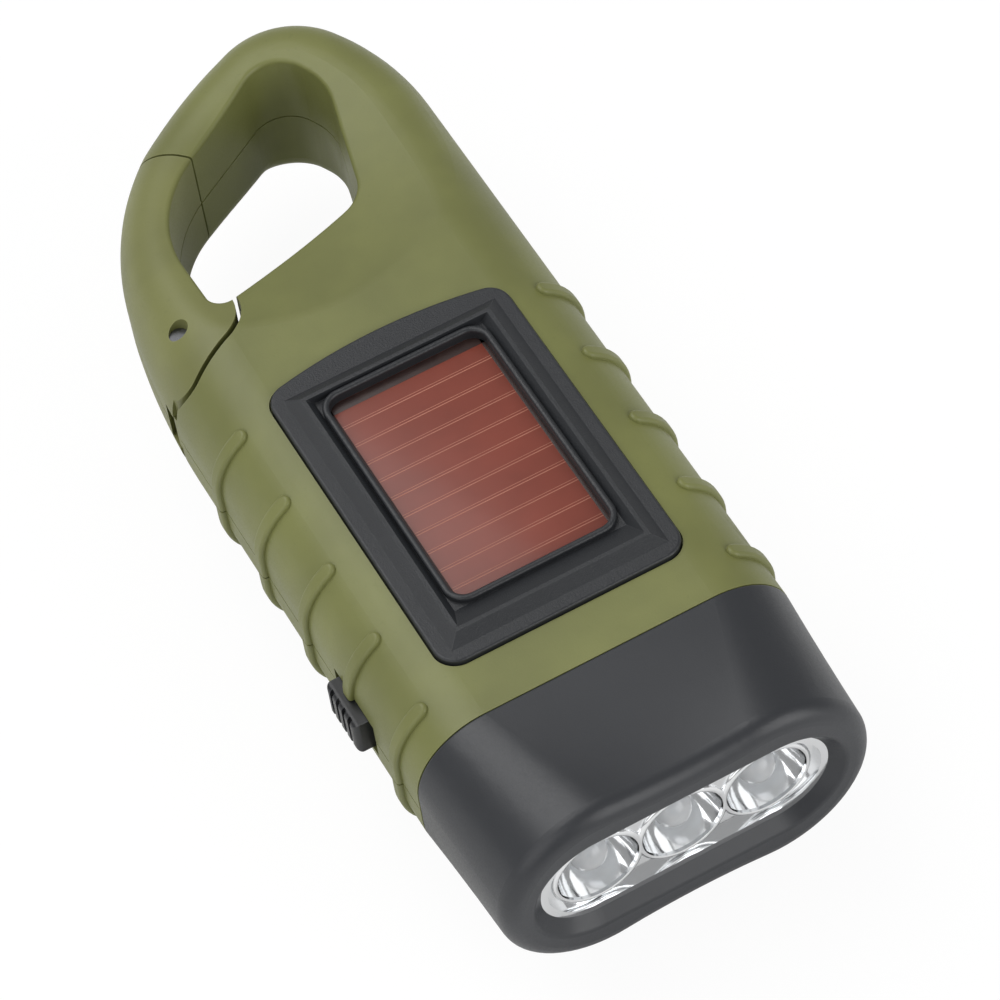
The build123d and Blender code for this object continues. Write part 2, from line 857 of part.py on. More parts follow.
def reflector():
    """Chromed reflector with three bowls and a raised outer rim."""
    front = face_y + lip_depth
    outline = stadium(reflector_length - 2 * fixed_gap, reflector_height - 2 * fixed_gap)
    body = y_prism(outline, front, reflector_depth)
    flange = offset(stadium(reflector_length, reflector_height), reflector_flange)
    body += y_prism(flange, front + lip_back, reflector_flange_thickness)
    inner = stadium(reflector_length - 2 * reflector_rim, reflector_height - 2 * reflector_rim)
    body -= y_prism(inner, front - 1, 1 + reflector_rim)
    floor = front + reflector_rim
    bowl_depth = reflector_back() - floor
    for x in led_positions():
        ring = Rot(90, 0, 0) * Torus(cup_radius + cup_rim / 2, cup_rim)
        body += Pos(x, floor, parting_z) * ring
    for x in led_positions():
        profile = [
            Line((0, 0.01 + cup_rim), (cup_radius, 0.01 + cup_rim)),
            Line((cup_radius, 0.01 + cup_rim), (cup_radius, 0)),
            ThreePointArc(
                (cup_radius, 0),
                ((cup_radius + cup_floor_radius) / 2 + 0.45, -bowl_depth * 0.45),
                (cup_floor_radius, -bowl_depth),
            ),
            Line((cup_floor_radius, -bowl_depth), (cup_floor_radius, -bowl_depth - 1)),
            Line((cup_floor_radius, -bowl_depth - 1), (0, -bowl_depth - 1)),
            Line((0, -bowl_depth - 1), (0, 0.01 + cup_rim)),
        ]
        bowl = revolve(make_face(Wire(profile)), axis=Axis.Y)
        body -= Pos(x, floor, parting_z) * Rot(180, 0, 0) * bowl
    for side in (-1, 1):
        post_x = side * reflector_post_x
        body += cylinder_y(reflector_post_radius, post_x, reflector_back() - 1, led_board_y())
    return body


def led_board_y():
    """Y of the lamp board's front face."""
    return reflector_back() + led_flange_height


def led(x):
    """One clear 5 mm lamp with its flange and domed front."""
    back = led_board_y()
    tip = reflector_back() - led_height
    dome_y = tip + led_radius
    shape = cylinder_y(led_radius, x, dome_y, back)
    shape += Pos(x, dome_y, parting_z) * Sphere(led_radius)
    return shape + cylinder_y(led_radius + led_flange, x, reflector_back() + 0.05, back)


def leds():
    """The three lamps."""
    return Compound(children=[led(x) for x in led_positions()])


def led_board():
    """Circuit board behind the lamps."""
    return y_prism(stadium(led_board_length, led_board_height), led_board_y(), led_board_thickness)


# ---- Solar panel ----
def window(grown):
    """Rectangle of the panel's window, grown all round."""
    return Pos(0, window_y) * Rectangle(window_width + 2 * grown, window_length + 2 * grown)


def round_window(grown):
    """The window with its round corners, grown all round."""
    plan = RectangleRounded(window_width + 2 * grown, window_length + 2 * grown, window_corner + grown)
    return Pos(0, window_y) * plan


def ridge_plan(drawn_in):
    """Rectangle of the bezel's raised ridge, drawn in all round."""
    width = bezel_width - 2 * (bezel_band_width + drawn_in)
    length = bezel_length - 2 * (bezel_band_width + drawn_in)
    return Pos(0, bezel_end_y + bezel_length / 2) * Rectangle(width, length)


def solar_bezel():
    """Black bezel with a mitred ridge, a valley inside it and a round bead along the window."""
    seat = top_z - bezel_seat
    band_z = top_z + bezel_proud
    ridge_z = band_z + ridge_height
    valley_z = band_z - valley_drop
    cell_z = top_z - cell_drop
    plate = z_prism(bezel_plan(0), seat, band_z)
    plate = fillet(plate.edges().group_by(Axis.Z)[-1], bezel_proud / 2)
    plate += loft([Pos(0, 0, band_z) * ridge_plan(0), Pos(0, 0, ridge_z) * ridge_plan(ridge_slope_width)])
    crest = ridge_slope_width + ridge_top_width
    plate -= loft([Pos(0, 0, valley_z) * window(bead_width), Pos(0, 0, ridge_z) * ridge_plan(crest)])
    bead = z_prism(round_window(bead_width) - round_window(0), seat, valley_z + bead_height)
    bead = fillet(bead.edges().group_by(Axis.Z)[-1], bead_width * 0.45)
    plate = plate - z_prism(round_window(0), cell_z, ridge_z + 1) + bead
    return plate - z_prism(window(cell_lap + fixed_gap), seat - 1, cell_z)


def solar_cell():
    """Cell plate under the bezel's window."""
    return z_prism(window(cell_lap), top_z - bezel_seat, top_z - cell_drop)


# ---- Slide switch ----
def switch_outer_x():
    """X of the switch body's outer face."""
    return -body_width / 2 + wall + slider_flange + 2 * run_gap


def switch_inner_x():
    """X of the switch body's inner face."""
    return switch_outer_x() + switch_body_depth


def switch_slider():
    """Ridged slider with its inner flange and drive stem."""
    outer_x = -body_width / 2 - slider_proud
    wall_x = -body_width / 2 + wall
    half = slider_length / 2
    half_z = switch_slot_height / 2 - free_gap / 2
    knob = box_between(outer_x, wall_x + 0.5, switch_y - half, switch_y + half, parting_z - half_z, parting_z + half_z)
    knob = fillet(knob.edges().group_by(Axis.X)[0], slider_proud * 0.4)
    pitch = slider_length / (slider_grooves + 1)
    for index in range(slider_grooves):
        y = switch_y - half + pitch * (index + 1)
        groove = slider_groove_width / 2
        knob -= box_between(outer_x - 1, outer_x + slider_groove_depth, y - groove, y + groove, 0, 2 * top_z)
    flange_x = wall_x + run_gap
    flange_half = half + 1.2
    knob += box_between(
        flange_x,
        flange_x + slider_flange,
        switch_y - flange_half,
        switch_y + flange_half,
        parting_z - half_z - 1,
        parting_z + half_z + 1,
    )
    stem = slider_stem / 2
    stem_end = switch_outer_x() + slider_stem
    return knob + box_between(
        flange_x + slider_flange / 2, stem_end, switch_y - stem, switch_y + stem, parting_z - stem, parting_z + stem
    )


def switch_body():
    """Body of the slide switch with its stem slot."""
    outer_x = switch_outer_x()
    inner_x = switch_inner_x()
    half = switch_body_length / 2
    high = switch_body_height / 2
    body = box_between(outer_x, inner_x, switch_y - half, switch_y + half, parting_z - high, parting_z + high)
    room = (slider_stem + slider_travel) / 2 + free_gap
    tall = slider_stem / 2 + free_gap / 2
    depth = slider_stem + free_gap
    return body - box_between(
        outer_x - 1, outer_x + depth, switch_y - room, switch_y + room, parting_z - tall, parting_z + tall
    )


# ---- Gear train ----
def involute_point(base_radius, radius):
    """Angle swept by the involute from its base circle out to radius."""
    if radius <= base_radius:
        return 0.0
    slope = math.sqrt((radius / base_radius) ** 2 - 1)
    return slope - math.atan(slope)


def gear_plan(module, teeth, phase):
    """Gear outline with straight-stepped involute teeth, one tooth centred on phase."""
    pitch_radius = module * teeth / 2
    base_radius = pitch_radius * math.cos(math.radians(gear_pressure_angle))
    tip_radius = pitch_radius + gear_addendum * module
    root_radius = pitch_radius - gear_dedendum * module
    half_tooth = math.pi / (2 * teeth) - gear_backlash / 2 / (2 * pitch_radius)
    at_pitch = involute_point(base_radius, pitch_radius)
    start_radius = max(root_radius, base_radius)
    flank = []
    for radius in (start_radius, (start_radius + tip_radius) / 2, tip_radius):
        flank.append((radius, half_tooth + at_pitch - involute_point(base_radius, radius)))
    if root_radius < base_radius - 0.01:
        flank.insert(0, (root_radius, flank[0][1]))
    points = []
    for index in range(teeth):
        middle = math.radians(phase) + 2 * math.pi * index / teeth
        for radius, angle in flank:
            points.append((radius * math.cos(middle - angle), radius * math.sin(middle - angle)))
        for radius, angle in reversed(flank):
            points.append((radius * math.cos(middle + angle), radius * math.sin(middle + angle)))
    return make_face(Wire.make_polygon([Vector(*point) for point in points]))


def meshed_phase(phase, teeth, next_teeth, direction):
    """Phase of the next gear, so that its gap meets the last gear's tooth."""
    return direction + 180 - (phase - direction) * teeth / next_teeth + 180 / next_teeth


def gear_distance(module, teeth):
    """Centre distance of a gear and the pinion that it drives."""
    return module * (teeth + pinion_teeth) / 2 + gear_spread


def step(point, distance, direction):
    """A point at a distance in a direction."""
    angle = math.radians(direction)
    return (point[0] + distance * math.cos(angle), point[1] + distance * math.sin(angle))


def middle_axis():
    """Plan position of the first compound gear."""
    return step((0, hub_y), gear_distance(drive_module, drive_teeth), middle_direction)


def fast_axis():
    """Plan position of the second compound gear."""
    return step(middle_axis(), gear_distance(middle_module, middle_teeth), fast_direction)


def rotor_axis():
    """Plan position of the dynamo's rotor."""
    return step(fast_axis(), gear_distance(fast_module, fast_teeth), rotor_direction)


def drive_gear_z():
    """Height of the drive gear's lower face."""
    return floor_z + gear_floor_gap


def drive_gear_top():
    """Height of the drive gear's upper face."""
    return drive_gear_z() + drive_gear_width


def middle_gear_z():
    """Height of the first compound gear's wheel."""
    return drive_gear_top() + 0.6


def fast_gear_z():
    """Height of the second compound gear's wheel."""
    return middle_gear_z() + middle_gear_width + 0.6


def plate_z():
    """Height of the gearbox plate's lower face."""
    return fast_gear_z() + fast_gear_width + 0.6


def gear_solid(module, teeth, phase, axis, low, high):
    """Gear wheel between two heights."""
    return z_prism(Pos(axis[0], axis[1]) * gear_plan(module, teeth, phase), low, high)


def drive_gear():
    """Crank's gear with its shaft, square end and upper pin."""
    gear = gear_solid(drive_module, drive_teeth, 0, (0, hub_y), drive_gear_z(), drive_gear_top())
    socket_z = crank_socket_z()
    gear += cylinder_z(shaft_radius, 0, hub_y, crank_thickness + 0.1, drive_gear_z())
    gear += box_between(
        -crank_square / 2,
        crank_square / 2,
        hub_y - crank_square / 2,
        hub_y + crank_square / 2,
        socket_z,
        crank_thickness + 0.2,
    )
    gear += cylinder_z(hub_boss_radius, 0, hub_y, drive_gear_top(), plate_z() - free_gap)
    gear += cylinder_z(hub_pin_radius, 0, hub_y, plate_z() - free_gap, plate_z() + plate_thickness)
    for angle in range(0, 360, 60):
        x, y = step((0, hub_y), (hub_boss_radius + drive_module * drive_teeth / 2) / 2, angle + 30)
        gear -= cylinder_z(2.6, x, y, drive_gear_z() - 1, drive_gear_top() + 1)
    bore_top = socket_z + crank_screw_bore
    return gear - cylinder_z(crank_screw_radius + fixed_gap, 0, hub_y, socket_z - 1, bore_top)


def compound_gear(wheel, pinion, axis, wheel_z, wheel_width, pinion_z):
    """Wheel and pinion moulded as one, bored for an axle. wheel and pinion are module, teeth, phase."""
    solid = gear_solid(*wheel, axis, wheel_z, wheel_z + wheel_width)
    solid += gear_solid(*pinion, axis, pinion_z, wheel_z + 0.1)
    return solid - cylinder_z(axle_radius + run_gap, axis[0], axis[1], pinion_z - 1, wheel_z + wheel_width + 1)


def middle_gear():
    """First compound gear, driven by the crank's gear."""
    phase = meshed_phase(0, drive_teeth, pinion_teeth, middle_direction)
    wheel = (middle_module, middle_teeth, 0)
    pinion = (drive_module, pinion_teeth, phase)
    return compound_gear(wheel, pinion, middle_axis(), middle_gear_z(), middle_gear_width, drive_gear_z())


def fast_gear():
    """Second compound gear."""
    phase = meshed_phase(0, middle_teeth, pinion_teeth, fast_direction)
    wheel = (fast_module, fast_teeth, 0)
    pinion = (middle_module, pinion_teeth, phase)
    return compound_gear(wheel, pinion, fast_axis(), fast_gear_z(), fast_gear_width, middle_gear_z() - 0.2)


def rotor():
    """Dynamo rotor: magnet, shaft and pinion."""
    phase = meshed_phase(0, fast_teeth, pinion_teeth, rotor_direction)
    x, y = rotor_axis()
    pinion_low = fast_gear_z() - 0.2
    solid = gear_solid(fast_module, pinion_teeth, phase, (x, y), pinion_low, plate_z() - free_gap)
    magnet_z = plate_z() + plate_thickness + free_gap
    solid += cylinder_z(rotor_radius, x, y, magnet_z, magnet_z + rotor_height)
    return solid + cylinder_z(axle_radius, x, y, rotor_foot_z(), can_top())


def can_top():
    """Height of the dynamo can's closed top."""
    return plate_z() + plate_thickness + can_height


def rotor_foot_z():
    """Height of the bracket's underside below the rotor's pinion."""
    return drive_gear_top() + 1.0


def dynamo_can():
    """Steel can round the coil, closed on top with the rotor's upper bearing."""
    x, y = rotor_axis()
    low = plate_z() + plate_thickness
    can = cylinder_z(can_radius, x, y, low, can_top())
    can -= cylinder_z(can_radius - can_wall, x, y, low - 1, can_top() - can_wall)
    return can - cylinder_z(axle_radius + run_gap, x, y, low, can_top() + 1)


def dynamo_coil():
    """Copper winding inside the can."""
    x, y = rotor_axis()
    low = plate_z() + plate_thickness
    coil = cylinder_z(can_radius - can_wall - fixed_gap, x, y, low, low + coil_height)
    return coil - cylinder_z(coil_inner_radius, x, y, low - 1, low + coil_height + 1)


def plate_posts():
    """Plan positions of the posts under the gearbox plate."""
    return [
        (-plate_post_x, plate_post_y),
        (plate_post_x, plate_post_y),
        (plate_rear_x, plate_rear_y),
        (-plate_rear_x, plate_rear_y),
    ]


def axle_seats():
    """Plan positions of the two axles and the heights of the seats that carry their gears."""
    return [
        (middle_axis(), drive_gear_z() - free_gap / 2),
        (fast_axis(), middle_gear_z() - 0.2 - free_gap / 2),
    ]


def gearbox_plate():
    """Plate over the gears, with the rotor's lower bearing on a bracket."""
    circles = [Pos(x, y) * Circle(plate_margin) for x, y in plate_posts()]
    circles.append(Pos(0, hub_y) * Circle(hub_boss_radius + 0.9))
    outline = make_face(Wire(make_hull([edge for circle in circles for edge in circle.edges()]).edges()))
    low = plate_z()
    plate = z_prism(outline, low, low + plate_thickness)
    x, y = rotor_axis()
    foot = rotor_foot_z()
    post_y = y - axle_radius - 4.6
    bracket = box_between(x - 2, x + 2, post_y, y + 2, foot, foot + 1.2)
    bracket += box_between(x - 2, x + 2, post_y, post_y + 1.6, foot, low + 0.2)
    plate += bracket
    plate -= cylinder_z(fast_module * (pinion_teeth / 2 + gear_addendum) + 0.3, x, y, low - 1, low + 3)
    plate -= cylinder_z(axle_radius + run_gap, x, y, foot - 1, low)
    plate -= cylinder_z(hub_pin_radius + run_gap, 0, hub_y, low - 1, low + 3)
    for (axle_x, axle_y), _ in axle_seats():
        plate -= cylinder_z(axle_radius + fixed_gap, axle_x, axle_y, low - 1, low + 3)
    return plate


def axle(position):
    """Steel pin from the floor to the plate."""
    x, y = position
    return cylinder_z(axle_radius, x, y, floor_z - wall / 3, plate_z() + plate_thickness)


def crank_bush():
    """Brass bush that carries the crank's shaft."""
    top = floor_z + gear_floor_gap - 0.3
    bush = cylinder_z(shaft_radius + bush_wall, 0, hub_y, crank_level, top)
    bush += cylinder_z(shaft_radius + bush_wall + 1.0, 0, hub_y, floor_z, top)
    return bush - cylinder_z(shaft_radius + run_gap, 0, hub_y, crank_level - 1, top + 1)


# ---- Crank ----
def crank_socket_z():
    """Height of the crank's web, where the square socket starts."""
    return crank_cap_thickness + 0.1 + crank_screw_head_height + crank_web


def hinge_y():
    """Y of the knob's hinge pin."""
    return hub_y + crank_reach


def crank_arm():
    """Flat crank arm, forked round the folded knob."""
    hub = Pos(0, hub_y) * Circle(crank_hub_radius)
    tip = Pos(0, hinge_y()) * RectangleRounded(2 * crank_tip_radius, 2 * crank_tip_reach, crank_tip_corner)
    outline = make_face(Wire(make_hull(hub.edges() + tip.edges()).edges()))
    arm = z_prism(outline, 0, crank_thickness)
    rims = arm.edges().group_by(Axis.Z)
    arm = fillet(rims[0] + rims[-1], crank_edge_radius)
    slot_end = hinge_y() - hinge_offset - knob_length - knob_cap_length - knob_side_gap
    half_slot = knob_radius + knob_side_gap
    arm -= box_between(-half_slot, half_slot, slot_end, hinge_y() + 2 * crank_tip_radius, -1, crank_thickness + 1)
    arm -= cylinder_z(crank_cap_radius + 0.1, 0, hub_y, -1, crank_cap_thickness)
    arm -= cylinder_z(crank_screw_head + 0.1, 0, hub_y, 0, crank_socket_z() - crank_web)
    arm -= cylinder_z(crank_screw_radius + fixed_gap, 0, hub_y, 0, crank_socket_z() + 1)
    side = crank_square / 2 + fixed_gap
    arm -= box_between(-side, side, hub_y - side, hub_y + side, crank_socket_z(), crank_thickness + 1)
    return arm - hinge_cylinder(hinge_pin_radius + fixed_gap, 2 * crank_tip_radius)


def hinge_cylinder(radius, length):
    """Cylinder along X on the knob's hinge."""
    return Pos(0, hinge_y(), crank_thickness / 2) * Rot(0, 90, 0) * Cylinder(radius, length)


def knob_cylinder(radius, near_offset, far_offset):
    """Cylinder along the folded knob, by its distances from the hinge."""
    middle = hinge_y() - (near_offset + far_offset) / 2
    return Pos(0, middle, crank_thickness / 2) * Rot(90, 0, 0) * Cylinder(radius, far_offset - near_offset)


def knob_hinge_pin():
    """Steel pin through the fork."""
    return hinge_cylinder(hinge_pin_radius, 2 * crank_tip_radius - 2)


def knob_link():
    """Eye on the hinge pin with the rod that the knob turns on."""
    eye_length = 2 * (knob_radius + knob_side_gap) - free_gap
    link = hinge_cylinder(hinge_eye_radius, eye_length)
    link += knob_cylinder(knob_axle_radius, hinge_eye_radius - 1, hinge_offset + knob_length)
    return link - hinge_cylinder(hinge_pin_radius + run_gap, eye_length + 1)


def knob():
    """Slim turning knob, waisted for the fingers."""
    length = knob_length - 2 * free_gap
    radius = knob_radius
    profile = [
        Line((0, 0), (radius - 0.5, 0)),
        Line((radius - 0.5, 0), (radius, 0.5)),
        ThreePointArc((radius, 0.5), (radius - 0.5, length / 2), (radius, length - 0.5)),
        Line((radius, length - 0.5), (radius - 0.5, length)),
        Line((radius - 0.5, length), (0, length)),
        Line((0, length), (0, 0)),
    ]
    solid = revolve(make_face(Wire(profile)), axis=Axis.Y)
    solid = Pos(0, hinge_y() - hinge_offset - knob_length + free_gap, crank_thickness / 2) * solid
    return solid - knob_cylinder(knob_axle_radius + run_gap, 0, hinge_offset + knob_length + 1)


def knob_cap():
    """Cap that keeps the knob on its rod."""
    far = hinge_offset + knob_length
    return knob_cylinder(knob_cap_radius, far, far + knob_cap_length)


def crank_cap():
    """Round cover over the crank's screw."""
    cap = cylinder_z(crank_cap_radius, 0, hub_y, 0, crank_cap_thickness)
    return chamfer(cap.edges().group_by(Axis.Z)[0], 0.25)


def crank_screw():
    """Screw that holds the arm on its shaft."""
    seat = crank_socket_z() - crank_web
    head = cylinder_z(crank_screw_head, 0, hub_y, seat - crank_screw_head_height, seat)
    head -= box_between(-1.8, 1.8, hub_y - 0.3, hub_y + 0.3, 0, seat - crank_screw_head_height + 0.6)
    return head + cylinder_z(crank_screw_radius, 0, hub_y, seat, crank_socket_z() + crank_screw_bore - 0.3)


# ---- Board and battery ----
def main_board():
    """Charging board under the shell's roof."""
    high = top_z - wall - board_drop
    plan = Pos(0, board_y) * Rectangle(board_width, board_length)
    return z_prism(plan, high - board_thickness, high)


def board_parts():
    """Chip, capacitor and coil on the board's upper side."""
    base = top_z - wall - board_drop
    chip = box_between(-3, 3, board_y - 12, board_y - 7, base, base + 1.2)
    inductor = cylinder_z(3.0, 6.5, board_y + 5, base, base + 1.8)
    capacitor = cylinder_z(2.5, -6.0, board_y + 6, base, base + 1.8)
    return Compound(children=[chip, inductor, capacitor])


def battery_base():
    """Height of the lowest cell's underside."""
    return drive_gear_top() + free_gap + battery_tray + 0.4


def battery_pack():
    """Rechargeable coin cells, stacked."""
    cell_height = (battery_height - (battery_cells - 1) * battery_gap) / battery_cells
    cells = []
    for index in range(battery_cells):
        low = battery_base() + index * (cell_height + battery_gap)
        cells.append(cylinder_z(battery_radius, battery_x, battery_y, low, low + cell_height))
    for index in range(battery_cells - 1):
        low = battery_base() + (index + 1) * cell_height + index * battery_gap
        cells.append(cylinder_z(battery_radius / 2, battery_x, battery_y, low, low + battery_gap))
    return sum(cells[1:], cells[0])


def battery_tray_piece():
    """Tray under the cells on two legs that stand on the lower shell."""
    low = battery_base() - battery_tray
    outer = battery_radius + 0.7
    tray = cylinder_z(outer, battery_x, battery_y, low, low + battery_tray + battery_tray_rim)
    tray -= cylinder_z(battery_radius + fixed_gap, battery_x, battery_y, low + battery_tray, low + 10)
    foot_z = bottom_z + head_wall + fixed_gap + spigot_wall
    far_y = seam_y - 0.6
    for side in (-1, 1):
        x = battery_x + side * battery_radius * 0.45
        tray += box_between(x - battery_leg, x + battery_leg, far_y - 1.6, far_y, foot_z, low + 0.2)
    return tray


def write_parts():
    """Build every piece and write it as parts/NODE.step."""
    pieces = {
        "upper_shell": upper_shell(),
        "lower_shell": lower_shell(),
        "gate_upper_half": gate_upper(),
        "gate_lower_half": gate_lower(),
        "gate_screw": gate_screw(),
        "gate_hinge_pin": gate_hinge_pin(),
        "gate_spring": gate_spring(),
        "head_cap": head_cap(),
        "reflector": reflector(),
        "leds": leds(),
        "led_board": led_board(),
        "solar_bezel": solar_bezel(),
        "solar_cell": solar_cell(),
        "switch_slider": switch_slider(),
        "switch_body": switch_body(),
        "drive_gear": drive_gear(),
        "middle_gear": middle_gear(),
        "fast_gear": fast_gear(),
        "rotor": rotor(),
        "dynamo_can": dynamo_can(),
        "dynamo_coil": dynamo_coil(),
        "gearbox_plate": gearbox_plate(),
        "middle_axle": axle(middle_axis()),
        "fast_axle": axle(fast_axis()),
        "crank_bush": crank_bush(),
        "crank_arm": crank_arm(),
        "crank_cap": crank_cap(),
        "crank_screw": crank_screw(),
        "knob_hinge_pin": knob_hinge_pin(),
        "knob_link": knob_link(),
        "knob": knob(),
        "knob_cap": knob_cap(),
        "main_board": main_board(),
        "board_parts": board_parts(),
        "battery_cells": battery_pack(),
        "battery_tray": battery_tray_piece(),
        "case_screws": Compound(children=[case_screw(index) for index in range(len(case_screws()))]),
    }
    os.makedirs("parts", exist_ok=True)
    for name, shape in pieces.items():
        export_step(shape, f"parts/{name}.step")
    return pieces


if __name__ == "__main__":
    write_parts()
    print("middle gear axis", middle_axis())
    print("fast gear axis", fast_axis())
    print("rotor axis", rotor_axis())
    print("crank axis", (0, hub_y), "knob hinge", (hinge_y(), crank_thickness / 2))
    print("parting plane", parting_z, "gate hinge", gate_hinge())
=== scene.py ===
"""Looks of a hand crank flashlight with a carabiner end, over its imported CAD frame.

Metres throughout. +Z is up through the solar panel, -Y points to the lamps and +Y to the
carabiner end. The CAD nodes keep their shapes and get procedural finishes. The solar cell
and the lamps are modelled here in more detail, each in the place of its CAD node.
"""

import json
import logging
import math
from dataclasses import dataclass, field
from enum import Enum
from typing import Iterable, Sequence

import bpy
from mathutils import Euler, Matrix, Vector

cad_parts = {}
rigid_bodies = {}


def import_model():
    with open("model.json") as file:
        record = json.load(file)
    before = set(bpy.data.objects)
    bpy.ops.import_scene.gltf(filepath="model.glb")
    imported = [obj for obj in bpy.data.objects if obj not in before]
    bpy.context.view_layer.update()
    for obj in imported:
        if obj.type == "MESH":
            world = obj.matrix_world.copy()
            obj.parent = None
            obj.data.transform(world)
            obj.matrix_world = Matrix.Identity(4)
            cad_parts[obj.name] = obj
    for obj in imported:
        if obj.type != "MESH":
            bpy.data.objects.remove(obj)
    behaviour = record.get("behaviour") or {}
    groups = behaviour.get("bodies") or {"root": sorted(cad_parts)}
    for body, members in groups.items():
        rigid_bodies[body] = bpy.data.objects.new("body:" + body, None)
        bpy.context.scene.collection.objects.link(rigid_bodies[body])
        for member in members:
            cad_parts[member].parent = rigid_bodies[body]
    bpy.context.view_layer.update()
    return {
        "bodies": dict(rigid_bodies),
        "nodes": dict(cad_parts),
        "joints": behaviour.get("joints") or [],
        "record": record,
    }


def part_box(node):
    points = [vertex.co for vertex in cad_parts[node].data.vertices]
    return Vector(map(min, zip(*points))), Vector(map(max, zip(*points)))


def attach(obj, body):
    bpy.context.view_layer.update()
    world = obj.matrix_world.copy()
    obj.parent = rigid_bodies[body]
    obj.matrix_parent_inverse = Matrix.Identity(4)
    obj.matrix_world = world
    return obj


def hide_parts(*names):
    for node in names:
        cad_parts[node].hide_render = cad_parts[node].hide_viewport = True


LOG = logging.getLogger("flashlight")
MM = 0.001

Colour = tuple[float, float, float]


def from_photo(red: int, green: int, blue: int) -> Colour:
    """Turn a colour as seen on screen into the linear colour that a shader takes.

    Args:
        red: Red, from 0 to 255.
        green: Green, from 0 to 255.
        blue: Blue, from 0 to 255.

    Returns:
        The same colour in linear light.
    """

    def linear(value: int) -> float:
        """Turn one channel into linear light."""
        share = value / 255
        return share / 12.92 if share <= 0.04045 else ((share + 0.055) / 1.055) ** 2.4

    return (linear(red), linear(green), linear(blue))


class Axis(Enum):
    """Axis along which a turned piece is drawn out."""

    Y = (0.0, 1.0, 0.0)
    Z = (0.0, 0.0, 1.0)


